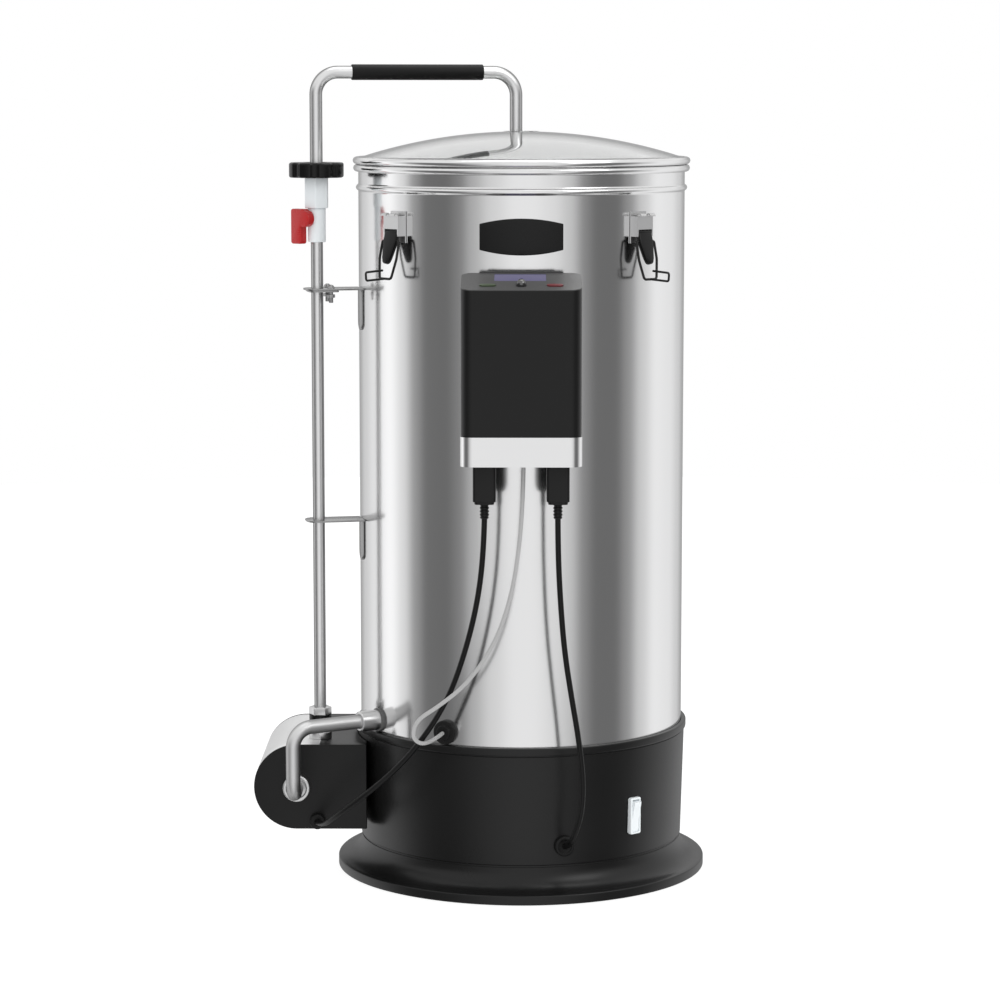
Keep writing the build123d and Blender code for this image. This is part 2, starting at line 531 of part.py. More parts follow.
# ---- cords -----------------------------------------------------------------------------------
def cord(name, diameter, points):
    """A round cord along a hand-set route: each corner's arc is as large as its two runs allow."""
    p = [Vector(*point) for point in points]
    radii = []
    for before, here, after in zip(p, p[1:], p[2:]):
        turn = math.radians((here - before).get_angle(after - here))
        shorter = min((here - before).length, (after - here).length)
        radii.append(0.45 * shorter / math.tan(turn / 2))
    shape = pipe(points, radii, diameter / 2)
    path_length = FilletPolyline(*points, radius=radii).length
    ratio = shape.volume / (math.pi * diameter**2 / 4 * path_length)
    runs = [(b - a).length for a, b in zip(p, p[1:])]
    print(name, "length", round(path_length), "volume ratio", round(ratio, 4))
    print("  runs", [round(run) for run in runs], "radii", [round(r) for r in radii])
    save(name, shape)


def cords():
    cord("heater_cord", POWER_CORD_D, [
        (32.0, -195.0, 352.4), (32.2, -195.6, 322.0), (34.3, -196.4, 280.0), (38.0, -195.0, 235.0),
        (44.5, -192.0, 193.0), (51.0, -188.5, 155.0), (55.2, -185.0, 117.0), (54.0, -181.5, 88.0),
        (48.6, -175.5, 67.5), (43.6, -166.0, 54.5), (39.86, -149.79, 49.4),
    ])
    cord("pump_cord", POWER_CORD_D, [
        (-32.0, -195.0, 352.4), (-32.8, -195.6, 322.0), (-38.0, -194.0, 279.0), (-48.5, -187.0, 235.0),
        (-63.0, -177.0, 192.0), (-84.0, -165.0, 155.0), (-109.0, -160.0, 124.0), (-137.0, -154.0, 99.0),
        (-163.0, -138.0, 77.0), (-180.0, -115.0, 60.0), (-187.0, -81.0, 55.5),
    ])
    cord("sensor_cord", SENSOR_CORD_D, [
        (2.0, -200.0, 398.95), (1.6, -201.6, 370.0), (-1.6, -206.0, 328.0), (-8.6, -206.0, 285.0),
        (-22.5, -200.0, 243.5), (-46.0, -193.0, 207.0), (-72.0, -190.5, 185.5), (-93.0, -186.5, 171.5),
        (-96.0, -180.0, 153.0), (-83.0, -170.5, 146.0), (-70.3, -140.38, 151.0),
    ])


def sensor():
    z = SENSOR_GLAND_Z
    gland = rod(10.9, (0, -GLAND_FACE_R, z), (0, -140, z))
    gland = clear_of_wall(chamfer(gland.edges().sort_by(Axis.Y)[0], 1.6))
    gland += rod(5.0, (0, -152, z), (0, -146.5, z))
    gland -= rod(3.0, (0, -152, z), (0, -140, z))
    probe = rod(2.98, (0, -151.9, z), (0, -112, z)) + rod(7.5, (0, -146.45, z), (0, -143.5, z))
    save("sensor_probe", on_wall(probe, SENSOR_GLAND_ANGLE))
    return on_wall(gland, SENSOR_GLAND_ANGLE)


# ---- latches and badge -----------------------------------------------------------------------
def latches():
    y, z = LATCH_PIN_Y, LATCH_PIN_Z
    lean = math.radians(LATCH_LEAN)
    bail_y = y - BAIL_PIN_DROP * math.sin(lean)
    bail_z = z - BAIL_PIN_DROP * math.cos(lean)
    plate_y = (y - 2.2, y - 1.0)  # the clip's front plate
    mounts = []
    for i, angle in enumerate(LATCH_ANGLES, start=1):
        mount = block((-9.6, 9.6), (-151.3, -150.1), (588, CLIP_TOP_Z + 4))
        mount += block((-9.6, 9.6), plate_y, (z + 2.8, CLIP_TOP_Z))
        curl_y = plate_y[1] - CURL_R
        for side in (-1, 1):
            cheek = block(sorted((side * 8.4, side * 9.6)), (plate_y[0], -151), (z - 3.5, CLIP_TOP_Z))
            ends = [(side * x, curl_y, CLIP_TOP_Z) for x in (2.4, 8.8)]
            curl = tube(CURL_R, CURL_R - 1.2, *ends)
            curl &= block((-20, 20), (-170, -150), (CLIP_TOP_Z - 0.01, CLIP_TOP_Z + 5))
            mount += cheek + curl
        pin = rod(1.0, (-9.6, y, z), (9.6, y, z))
        mounts += [on_wall(mount - pin, angle), on_wall(pin, angle)]

        side_view = Plane(origin=(0, 0, 0), x_dir=(1, 0, 0), z_dir=(0, -1, 0))
        outline = make_face([
            Polyline((-5.0, 572.5), (-8.2, 588), (-8.2, z), (8.2, z), (8.2, 588), (5.0, 572.5)),
            ThreePointArc((5.0, 572.5), (0, 568.4), (-5.0, 572.5)),
        ])
        lever = Pos(0, y + 2.5, 0) * extrude(side_view * outline, 5.0)
        lever += rod(2.5, (-8.2, y, z), (8.2, y, z))
        lever -= rod(1.0 + RUN_FIT, (-9, y, z), (9, y, z))
        for side in (-1, 1):
            hole_z = z - BAIL_PIN_DROP
            lever -= rod(WIRE_R + RUN_FIT, (side * 5.2, y, hole_z), (side * 9, y, hole_z))
        lever = lever.rotate(Axis((0, y, z), (1, 0, 0)), -LATCH_LEAN)
        save(f"latch_lever_{i}", on_wall(lever, angle))

        side = [(11.0, bail_y, bail_z), (11.3, bail_y - 3.4, 574), (7.6, -166.4, 556.5)]
        wire = [(5.4, bail_y, bail_z), *side]
        wire += [(-px, py, pz) for px, py, pz in reversed(wire)]
        bail = pipe(wire, [2, 20, 3, 3, 20, 2], WIRE_R)
        hook = [(0, -166.4, 556.5), (0, -188.6, 555.6), (0, -189.2, 563), (0, -169.5, 564.0)]
        bail += pipe(hook, [1.8, 1.8], WIRE_R - 0.15)
        save(f"latch_bail_{i}", on_wall(bail, angle))
    save("latch_mounts", *mounts)


def badge():
    half_w, half_h, bow = 36.8, 11.4, 4.7
    middle = 595.1
    face = make_face([
        Line((-half_w, -half_h), (-half_w, half_h)),
        ThreePointArc((-half_w, half_h), (0, half_h + bow), (half_w, half_h)),
        Line((half_w, half_h), (half_w, -half_h)),
        ThreePointArc((half_w, -half_h), (0, -half_h - bow), (-half_w, -half_h)),
    ])
    column = extrude(Plane(origin=(0, -100, middle), x_dir=(1, 0, 0), z_dir=(0, -1, 0)) * face, 100)
    save("badge", column & (Pos(0, 0, middle) * (Cylinder(151.9, 60) - Cylinder(150.05, 60))))


# ---- grain basket ----------------------------------------------------------------------------
def screen(z, outer_r):
    """A round screen with a ring of holes that widens the open area outwards."""
    disc = Pos(0, 0, z) * (Cylinder(outer_r, SCREEN_T) - Cylinder(OVERFLOW_R + 0.3, 10))
    for ring_r, count in ((28, 8), (50, 14), (72, 20), (94, 26), (114, 32)):
        for i in range(count):
            disc -= (Pos(ring_r, 0, z) * Cylinder(3.0, 10)).rotate(Axis.Z, 360 / count * i)
    return disc


def basket():
    inner = BASKET_R - 1.0
    low, high = BASKET_Z
    wall = turned(
        lines((inner - 8, low), (BASKET_R, low), (BASKET_R, high - 4)),
        arc((BASKET_R, high - 4), (BASKET_R + 3, high - 2), (BASKET_R, high)),
        lines(
            (BASKET_R, high), (inner, high), (inner, low + 1), (inner - 8, low + 1), (inner - 8, low),
        ),
    )
    for angle in (0, 90, 180, 270):
        wall += rod(4, wall_point(angle, 129, FLOOR_Z + WALL + 0.1), wall_point(angle, 129, low + 0.5))
    save("basket_wall", wall)
    save("grain_screens", screen(BOTTOM_SCREEN_Z, inner - 4), screen(TOP_SCREEN_Z, inner - 4))
    seal = Cylinder(inner - 0.02, 5) - Cylinder(inner - 4, SCREEN_T) - Cylinder(inner - 7, 10)
    save("screen_seals", *[Pos(0, 0, z) * seal for z in (BOTTOM_SCREEN_Z, TOP_SCREEN_Z)])
    save("overflow_pipe", tube(OVERFLOW_R, OVERFLOW_R - 1, (0, 0, low + 1), (0, 0, 560)))


boiler()
lid()
glands = [base(), pump(), sensor(), controller()]
save("cord_glands", *glands)
pipework()
valve()
cords()
latches()
badge()
basket()
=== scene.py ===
# %% [markdown]
# # An electric all-in-one brewer
# A tall steel boiler stands on a black heated base. A pump at its side lifts the wort through a riser and
# a bent pipe, which pours it back through a hole in the glass lid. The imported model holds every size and
# every joint. This file gives the visible pieces their finished shapes and materials.
# Shapes are modelled in millimetres, because that is how a maker thinks of them, and each finished mesh is
# scaled to metres once.

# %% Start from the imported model
import math

import bmesh
import bpy
from mathutils import Matrix, Vector


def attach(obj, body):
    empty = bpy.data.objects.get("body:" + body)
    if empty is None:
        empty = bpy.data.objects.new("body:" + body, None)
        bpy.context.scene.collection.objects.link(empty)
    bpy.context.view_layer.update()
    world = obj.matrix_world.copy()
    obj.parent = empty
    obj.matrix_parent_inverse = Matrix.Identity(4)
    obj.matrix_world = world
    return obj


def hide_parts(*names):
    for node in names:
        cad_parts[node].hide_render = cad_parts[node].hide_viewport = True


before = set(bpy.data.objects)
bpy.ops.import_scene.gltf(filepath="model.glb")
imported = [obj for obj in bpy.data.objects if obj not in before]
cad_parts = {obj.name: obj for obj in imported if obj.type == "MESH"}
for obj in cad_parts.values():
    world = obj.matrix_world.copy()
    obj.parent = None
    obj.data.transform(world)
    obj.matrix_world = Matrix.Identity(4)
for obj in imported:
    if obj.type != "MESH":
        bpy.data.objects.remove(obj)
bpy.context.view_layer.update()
scene = bpy.context.scene
MM = 0.001

# %% [markdown]
# ## Camera and light
# A long lens from almost three metres keeps the tall cylinder nearly straight. Polished steel shows
# nothing but its surroundings, so the studio is drawn as a world whose brightness changes with the compass
# direction: a broad bright front, darker gaps on both sides of it, bright side walls and a grey back. The
# two gaps make the soft dark stripes down the steel. The camera itself sees plain white.

# %% Camera
LOOKS_DOWN, LOOKS_LEFT = 7.39, 0.385  # degrees
camera_data = bpy.data.cameras.new("camera")
camera_data.lens = 114.4
camera_data.sensor_width = 36.0
camera = bpy.data.objects.new("camera", camera_data)
scene.collection.objects.link(camera)
camera.location = (0.0, -2.937, 0.7246)
camera.rotation_euler = (math.radians(90 - LOOKS_DOWN), 0.0, math.radians(LOOKS_LEFT))
scene.camera = camera
scene.view_settings.view_transform = "Standard"

# %% Studio world
WALLS_END, CEILING_STARTS = 0.16, 0.34  # heights in a direction of unit length
CEILING = 0.95
STUDIO = [  # degrees from the front, towards +X, and brightness
    (-180, 0.42), (-163, 0.42), (-147, 0.72), (-127, 0.96), (-106, 1.22), (-92, 0.88), (-80, 0.36),
    (-70, 0.18), (-54, 0.17), (-44, 0.25), (-34, 0.52), (-20, 0.80), (-4, 0.98), (8, 0.98), (22, 0.88),
    (34, 0.68), (45, 0.28), (54, 0.17), (70, 0.17), (81, 0.34), (94, 0.74), (110, 1.02), (130, 0.95),
    (147, 0.72), (163, 0.42), (180, 0.42),
]


def studio_world():
    """Brightness by compass direction, under a plain ceiling, with white for the camera."""
    world = bpy.data.worlds.new("studio")
    world.use_nodes = True
    nodes, links = world.node_tree.nodes, world.node_tree.links
    nodes.clear()
    where = nodes.new("ShaderNodeTexCoord")
    split = nodes.new("ShaderNodeSeparateXYZ")
    links.new(where.outputs["Generated"], split.inputs[0])
    back = nodes.new("ShaderNodeMath")
    back.operation = "MULTIPLY"
    back.inputs[1].default_value = -1.0
    links.new(split.outputs["Y"], back.inputs[0])
    compass = nodes.new("ShaderNodeMath")
    compass.operation = "ARCTAN2"
    links.new(split.outputs["X"], compass.inputs[0])
    links.new(back.outputs[0], compass.inputs[1])
    share = nodes.new("ShaderNodeMath")
    share.operation = "MULTIPLY_ADD"
    share.inputs[1].default_value = 0.5 / math.pi
    share.inputs[2].default_value = 0.5
    links.new(compass.outputs[0], share.inputs[0])
    ramp = nodes.new("ShaderNodeValToRGB")
    ramp.color_ramp.interpolation = "EASE"
    stops = ramp.color_ramp.elements
    for i, (angle, level) in enumerate(STUDIO):
        stop = stops[i] if i < 2 else stops.new(1)
        stop.position = 0.5 + angle / 360
        stop.color = (level, level, level * 1.005, 1)
    links.new(share.outputs[0], ramp.inputs[0])
    height = nodes.new("ShaderNodeMapRange")
    height.inputs["From Min"].default_value = WALLS_END
    height.inputs["From Max"].default_value = CEILING_STARTS
    links.new(split.outputs["Z"], height.inputs["Value"])
    ceiling = nodes.new("ShaderNodeMix")
    ceiling.data_type = "RGBA"
    ceiling.inputs["B"].default_value = (CEILING, CEILING, CEILING, 1)
    links.new(height.outputs[0], ceiling.inputs["Factor"])
    links.new(ramp.outputs[0], ceiling.inputs["A"])
    room = nodes.new("ShaderNodeBackground")
    links.new(ceiling.outputs["Result"], room.inputs["Color"])
    backdrop = nodes.new("ShaderNodeBackground")
    backdrop.inputs["Color"].default_value = (1, 1, 1, 1)
    rays = nodes.new("ShaderNodeLightPath")
    mix = nodes.new("ShaderNodeMixShader")
    links.new(rays.outputs["Is Camera Ray"], mix.inputs[0])
    links.new(room.outputs[0], mix.inputs[1])
    links.new(backdrop.outputs[0], mix.inputs[2])
    output = nodes.new("ShaderNodeOutputWorld")
    links.new(mix.outputs[0], output.inputs[0])
    scene.world = world


studio_world()


def soft_light(name, place, aim, size, power):
    """A square area light that points at a place."""
    data = bpy.data.lights.new(name, "AREA")
    data.size = size
    data.energy = power
    light = bpy.data.objects.new(name, data)
    light.location = place
    light.rotation_euler = (Vector(aim) - Vector(place)).to_track_quat("-Z", "Y").to_euler()
    scene.collection.objects.link(light)


soft_light("key", (1.9, -1.7, 2.2), (0, 0, 0.3), 1.4, 14)
soft_light("top", (0.2, 0.2, 2.6), (0, 0, 0.4), 1.6, 14)
print("camera lens", camera_data.lens)

# %% [markdown]
# ## Finishes
# No real surface is one flat value. A node group called *surface* gives every material the same kinds of
# unevenness in different amounts: a fine grain, stretched where a finish has a direction, and wide faint
# patches as from wiping and handling. It puts out a mask for the colour, a roughness and a height for the
# bump, and each material keeps its own shader.


# %% The surface group
def surface_group():
    """The shared node group: grain and patches in, a mask, a roughness and a height out."""
    group = bpy.data.node_groups.new("surface", "ShaderNodeTree")
    for name, default in (("Roughness", 0.3), ("Spread", 0.05), ("Grain", 900.0), ("Patch", 9.0)):
        socket = group.interface.new_socket(name, in_out="INPUT", socket_type="NodeSocketFloat")
        socket.default_value = default
    stretch = group.interface.new_socket("Stretch", in_out="INPUT", socket_type="NodeSocketVector")
    stretch.default_value = (1, 1, 1)
    for name in ("Mask", "Roughness", "Height"):
        group.interface.new_socket(name, in_out="OUTPUT", socket_type="NodeSocketFloat")
    nodes, links = group.nodes, group.links
    inputs, outputs = nodes.new("NodeGroupInput"), nodes.new("NodeGroupOutput")
    where = nodes.new("ShaderNodeTexCoord")
    scale = nodes.new("ShaderNodeVectorMath")
    scale.operation = "MULTIPLY"
    links.new(where.outputs["Object"], scale.inputs[0])
    links.new(inputs.outputs["Stretch"], scale.inputs[1])
    grain = nodes.new("ShaderNodeTexNoise")
    grain.inputs["Detail"].default_value = 2.0
    links.new(scale.outputs[0], grain.inputs["Vector"])
    links.new(inputs.outputs["Grain"], grain.inputs["Scale"])
    patch = nodes.new("ShaderNodeTexNoise")
    patch.inputs["Detail"].default_value = 3.0
    links.new(where.outputs["Object"], patch.inputs["Vector"])
    links.new(inputs.outputs["Patch"], patch.inputs["Scale"])
    both = nodes.new("ShaderNodeMath")
    both.operation = "ADD"
    links.new(grain.outputs["Fac"], both.inputs[0])
    links.new(patch.outputs["Fac"], both.inputs[1])
    centred = nodes.new("ShaderNodeMath")
    centred.operation = "SUBTRACT"
    centred.inputs[1].default_value = 1.0
    links.new(both.outputs[0], centred.inputs[0])
    rough = nodes.new("ShaderNodeMath")
    rough.operation = "MULTIPLY_ADD"
    links.new(centred.outputs[0], rough.inputs[0])
    links.new(inputs.outputs["Spread"], rough.inputs[1])
    links.new(inputs.outputs["Roughness"], rough.inputs[2])
    half = nodes.new("ShaderNodeMath")
    half.operation = "MULTIPLY"
    half.inputs[1].default_value = 0.5
    links.new(both.outputs[0], half.inputs[0])
    links.new(half.outputs[0], outputs.inputs["Mask"])
    links.new(rough.outputs[0], outputs.inputs["Roughness"])
    links.new(grain.outputs["Fac"], outputs.inputs["Height"])
    return group


SURFACE = surface_group()


def finish(name, light, dark, rough, spread=0.06, grain=900, stretch=(1, 1, 1), patch=9, bump=0.02, **shader):
    """A material whose colour drifts between two near tones, with its own grain and roughness."""
    material = bpy.data.materials.new(name)
    material.use_nodes = True
    nodes, links = material.node_tree.nodes, material.node_tree.links
    surface = nodes["Principled BSDF"]
    group = nodes.new("ShaderNodeGroup")
    group.node_tree = SURFACE
    for socket, value in (("Roughness", rough), ("Spread", spread), ("Grain", grain), ("Patch", patch)):
        group.inputs[socket].default_value = value
    group.inputs["Stretch"].default_value = stretch
    tone = nodes.new("ShaderNodeMix")
    tone.data_type = "RGBA"
    tone.inputs["A"].default_value = (*dark, 1)
    tone.inputs["B"].default_value = (*light, 1)
    links.new(group.outputs["Mask"], tone.inputs["Factor"])
    links.new(tone.outputs["Result"], surface.inputs["Base Color"])
    links.new(group.outputs["Roughness"], surface.inputs["Roughness"])
    relief = nodes.new("ShaderNodeBump")
    relief.inputs["Strength"].default_value = bump
    relief.inputs["Distance"].default_value = 0.0004
    links.new(group.outputs["Height"], relief.inputs["Height"])
    links.new(relief.outputs[0], surface.inputs["Normal"])
    for socket, value in shader.items():
        surface.inputs[socket.replace("_", " ")].default_value = value
    return material


def grey(level):
    return (level, level, level)


# %% Metals
RINGED = (0.6, 0.6, 40)  # grain drawn out around the boiler, fine along its height
UPRIGHT = (60, 60, 1)  # grain drawn out along the height


def metal(name, light, dark, rough, spread, grain, stretch=(1, 1, 1), patch=9, bump=0.02, share=1.0):
    """A grey metal that varies between two tones."""
    return finish(name, grey(light), grey(dark), rough, spread, grain, stretch, patch, bump, Metallic=share)


boiler_steel = metal("boiler_steel", 0.80, 0.77, 0.15, 0.04, 220, RINGED, patch=5, bump=0.012)
tube_steel = metal("tube_steel", 0.80, 0.74, 0.30, 0.06, 500, patch=30, bump=0.008)
bracket_steel = metal("bracket_steel", 0.36, 0.32, 0.25, 0.05, 900, patch=40, bump=0.006)
satin_steel = metal("satin_steel", 0.72, 0.67, 0.46, 0.06, 700, patch=40, bump=0.012)
# a bright metal colour for the pump's round nose: a painted reflection of the studio on the black case
nose_painted_reflection = metal("nose_painted_reflection", 0.86, 0.82, 0.42, 0.06, 700, patch=40, bump=0.012, share=0.8)
fitting_steel = metal("fitting_steel", 0.66, 0.60, 0.30, 0.05, 900, patch=40, bump=0.006)
band_metal = metal("band_metal", 0.80, 0.76, 0.14, 0.03, 300, UPRIGHT, patch=12, bump=0.006)
chrome = metal("chrome", 0.16, 0.13, 0.16, 0.03, 400, bump=0.005)
spreader_metal = metal("spreader_metal", 0.6, 0.5, 0.4, 0.1, 300)
motor_iron = metal("motor_iron", 0.16, 0.12, 0.5, 0.1, 400, patch=40, bump=0.1, share=0.7)

# %% Plastics, rubber and the rest


def dull(name, light, dark, rough, spread, grain, patch, bump=0.02, shine=0.22):
    """A grey plastic or rubber that mirrors less than usual."""
    return finish(name, grey(light), grey(dark), rough, spread, grain, patch=patch, bump=bump,
                  Specular_IOR_Level=shine)


wire_black = dull("wire_black", 0.010, 0.006, 0.35, 0.08, 900, 60, 0.03, shine=0.3)
black_plastic = dull("black_plastic", 0.009, 0.006, 0.30, 0.08, 1500, 14, 0.05, shine=0.3)
case_plastic = dull("case_plastic", 0.0085, 0.006, 0.34, 0.06, 1800, 20, 0.05)
gloss_black = dull("gloss_black", 0.007, 0.004, 0.20, 0.06, 900, 12)
panel_plastic = dull("panel_plastic", 0.072, 0.062, 0.42, 0.06, 1800, 30, 0.05)
rubber = dull("rubber", 0.007, 0.005, 0.5, 0.1, 1600, 40, 0.08)
foam_grip = dull("foam_grip", 0.005, 0.003, 0.5, 0.1, 900, 60, 0.2)
cord_black = dull("cord_black", 0.005, 0.003, 0.4, 0.08, 700, 30, 0.05)
seal_grey = dull("seal_grey", 0.14, 0.11, 0.5, 0.06, 900, 30)
cord_grey = dull("cord_grey", 0.46, 0.40, 0.42, 0.08, 700, 30, 0.05, shine=0.5)
silicone = dull("silicone", 0.7, 0.62, 0.4, 0.06, 900, 30, shine=0.5)
white_plastic = finish("white_plastic", (0.90, 0.94, 0.96), (0.85, 0.90, 0.92), 0.35, 0.05, 1200, patch=60)
red_plastic = finish("red_plastic", (0.52, 0.010, 0.012), (0.42, 0.007, 0.008), 0.28, 0.06, 1200, patch=60)
red_button = finish("red_button", (0.17, 0.014, 0.02), (0.13, 0.010, 0.014), 0.35, 0.05, 1200, patch=60)
green_plastic = finish(
    "green_plastic", (0.055, 0.085, 0.04), (0.045, 0.065, 0.03), 0.35, 0.05, 1200, patch=60,
)
display = finish(
    "display", (0.115, 0.105, 0.22), (0.10, 0.09, 0.19), 0.3, 0.03, patch=20, Specular_IOR_Level=0.22,
)
board_green = finish("board_green", (0.03, 0.15, 0.06), (0.02, 0.10, 0.05), 0.4, 0.06, 500, patch=60)


def paint_outline_reflection(material, level):
    """Turns a round tube's colour down towards its outline: a painted reflection of the darker surroundings
    that polished tube mirrors there.
    """
    nodes, links = material.node_tree.nodes, material.node_tree.links
    tone = nodes["Principled BSDF"].inputs["Base Color"].links[0].from_socket
    outline = nodes.new("ShaderNodeLayerWeight")
    outline.inputs["Blend"].default_value = 0.5
    share = nodes.new("ShaderNodeMapRange")
    share.inputs["From Min"].default_value = 0.20
    share.inputs["From Max"].default_value = 0.55
    share.inputs["To Min"].default_value = 1.0
    share.inputs["To Max"].default_value = level
    links.new(outline.outputs["Facing"], share.inputs["Value"])
    dim = nodes.new("ShaderNodeVectorMath")
    dim.operation = "SCALE"
    links.new(tone, dim.inputs[0])
    links.new(share.outputs[0], dim.inputs["Scale"])
    links.new(dim.outputs[0], nodes["Principled BSDF"].inputs["Base Color"])


# painted reflection: these tubes' colour darkens towards their outlines
paint_outline_reflection(tube_steel, 0.22)
paint_outline_reflection(satin_steel, 0.55)
print("materials", len(bpy.data.materials))

# %% Glass
glass = bpy.data.materials.new("glass")
glass.use_nodes = True
glass_surface = glass.node_tree.nodes["Principled BSDF"]
glass_surface.inputs["Base Color"].default_value = (0.97, 0.985, 0.98, 1)
glass_surface.inputs["Roughness"].default_value = 0.02
glass_surface.inputs["Transmission Weight"].default_value = 1.0
glass_surface.inputs["IOR"].default_value = 1.6
glass_surface.inputs["Coat Weight"].default_value = 1.0
glass_surface.inputs["Coat IOR"].default_value = 2.3
glass_surface.inputs["Coat Roughness"].default_value = 0.02

# %% [markdown]
# ## Tools for shaping
# Most pieces are turned, bent from tube or cut from a flat outline, so a few small helpers do most of the
# work: *soften* rounds the corners of an outline, *turn* spins it around an axis, *bend_tube* extrudes and
# spins a circle along straights and bends, and *plate* extrudes a flat outline. *make_piece* finishes each
# mesh, rides it on its body and hides the imported node that it stands for.


# %% Shaping helpers
def soften(corners, steps=5):
    """Rounds an outline's corners. A corner is (x, y) or (x, y, radius)."""
    points = []
    count = len(corners)
    for i, corner in enumerate(corners):
        here = Vector(corner[:2])
        radius = corner[2] if len(corner) > 2 else 0
        if not radius:
            points.append(here)
            continue
        to_last = (Vector(corners[i - 1][:2]) - here).normalized()
        to_next = (Vector(corners[(i + 1) % count][:2]) - here).normalized()
        half = to_last.angle(to_next) / 2
        centre = here + (to_last + to_next).normalized() * radius / math.sin(half)
        start = here + to_last * radius / math.tan(half) - centre
        end = here + to_next * radius / math.tan(half) - centre
        sweep = start.angle_signed(end)
        for step in range(steps + 1):
            points.append(centre + Matrix.Rotation(-sweep * step / steps, 2) @ start)
    return points


def curve(centre, radius, first, last, steps=12):
    """Points on an arc, by angle in degrees."""
    angles = [math.radians(first + (last - first) * i / steps) for i in range(steps + 1)]
    return [(centre[0] + radius * math.cos(a), centre[1] + radius * math.sin(a)) for a in angles]


def turn(bm, outline, segments=96, closed=True, place=None):
    """Spins an outline of (radius, height) around Z, then puts it in place."""
    before = set(bm.verts)
    verts = [bm.verts.new((p[0], 0, p[1])) for p in outline]
    ends = verts[1:] + (verts[:1] if closed else [])
    edges = [bm.edges.new(pair) for pair in zip(verts, ends)]
    bmesh.ops.spin(bm, geom=verts + edges, cent=(0, 0, 0), axis=(0, 0, 1), angle=2 * math.pi,
                   steps=segments, use_merge=True)
    new = [v for v in bm.verts if v not in before]
    bmesh.ops.remove_doubles(bm, verts=new, dist=1e-4)
    new = [v for v in bm.verts if v not in before]
    if place is not None:
        bmesh.ops.transform(bm, matrix=place, verts=new)
    return new


def plate(bm, outline, low, high, place=None, bevel=0.0, segments=3):
    """Extrudes a flat outline between two heights, with its rims bevelled."""
    before = set(bm.verts)
    face = bm.faces.new([bm.verts.new((p[0], p[1], low)) for p in outline])
    top = bmesh.ops.extrude_face_region(bm, geom=[face])
    moved = [g for g in top["geom"] if isinstance(g, bmesh.types.BMVert)]
    bmesh.ops.translate(bm, vec=(0, 0, high - low), verts=moved)
    if bevel:
        new = [v for v in bm.verts if v not in before]
        hard = [e for e in bm.edges if e.verts[0] in new and e.calc_face_angle() > 0.6]
        bmesh.ops.bevel(bm, geom=hard, offset=bevel, segments=segments, affect="EDGES", profile=0.5,
                        material=-1)
    new = [v for v in bm.verts if v not in before]
    if place is not None:
        bmesh.ops.transform(bm, matrix=place, verts=new)
    return new


def facing(direction, at=(0, 0, 0), up=(0, 0, 1)):
    """A placement that turns local Z to a direction, with local Y as near to up as it can be."""
    z = Vector(direction).normalized()
    x = Vector(up).cross(z).normalized()
    y = z.cross(x)
    turn_to = Matrix((x, y, z)).transposed().to_4x4()
    return Matrix.Translation(at) @ turn_to


def bend_tube(bm, corners, bends, radius, wall=0.0, segments=32, bend_steps=12):
    """A round tube along straight runs, with an arc of the given radius at each inner corner."""
    points = [Vector(c) for c in corners]
    rings = [radius, radius - wall] if wall else [radius]
    for r in rings:
        start = facing(points[1] - points[0], points[0], (0.3, 0.5, 0.8))
        ring = bmesh.ops.create_circle(bm, cap_ends=False, segments=segments, radius=r, matrix=start)["verts"]
        edges = list({e for v in ring for e in v.link_edges})
        here = points[0]
        for i, corner in enumerate(points[1:], start=1):
            going = (corner - points[i - 1]).normalized()
            setback = 0.0
            if i < len(points) - 1:
                leaving = (points[i + 1] - corner).normalized()
                angle = going.angle(leaving)
                setback = bends[i - 1] * math.tan(angle / 2)
            stop = corner - going * setback
            moved = bmesh.ops.extrude_edge_only(bm, edges=edges)["geom"]
            verts = [g for g in moved if isinstance(g, bmesh.types.BMVert)]
            edges = [g for g in moved if isinstance(g, bmesh.types.BMEdge)]
            bmesh.ops.translate(bm, vec=stop - here, verts=verts)
            here = stop
            if setback:
                axis = going.cross(leaving).normalized()
                centre = stop + axis.cross(going) * bends[i - 1]
                spun = bmesh.ops.spin(bm, geom=verts + edges, cent=centre, axis=axis, angle=angle,
                                      steps=bend_steps)["geom_last"]
                edges = [g for g in spun if isinstance(g, bmesh.types.BMEdge)]
                here = corner + leaving * setback
    open_edges = [e for e in bm.edges if e.is_boundary]
    if wall:
        at_start = [e for e in open_edges if (e.verts[0].co - points[0]).length < 3 * radius]
        bmesh.ops.bridge_loops(bm, edges=at_start)
        bmesh.ops.bridge_loops(bm, edges=[e for e in bm.edges if e.is_boundary])
    else:
        bmesh.ops.holes_fill(bm, edges=open_edges)


def around(angle):
    """A turn about the boiler's axis, in degrees from the front towards +X."""
    return Matrix.Rotation(math.radians(angle), 4, "Z")


def from_wall(angle, height):
    """A placement whose local Z points straight out from the boiler's axis."""
    return around(angle) @ facing((0, -1, 0), (0, 0, height))


def slice_across(bm, direction, places):
    """Cuts a mesh into strips, so that it can be bent."""
    for at in places:
        everything = bm.verts[:] + bm.edges[:] + bm.faces[:]
        bmesh.ops.bisect_plane(bm, geom=everything, plane_co=Vector(direction) * at, plane_no=direction,
                               dist=1e-5)


def hexagon(across_corners, first=0):
    angles = [math.radians(60 * i + first) for i in range(6)]
    return [(across_corners / 2 * math.cos(a), across_corners / 2 * math.sin(a)) for a in angles]


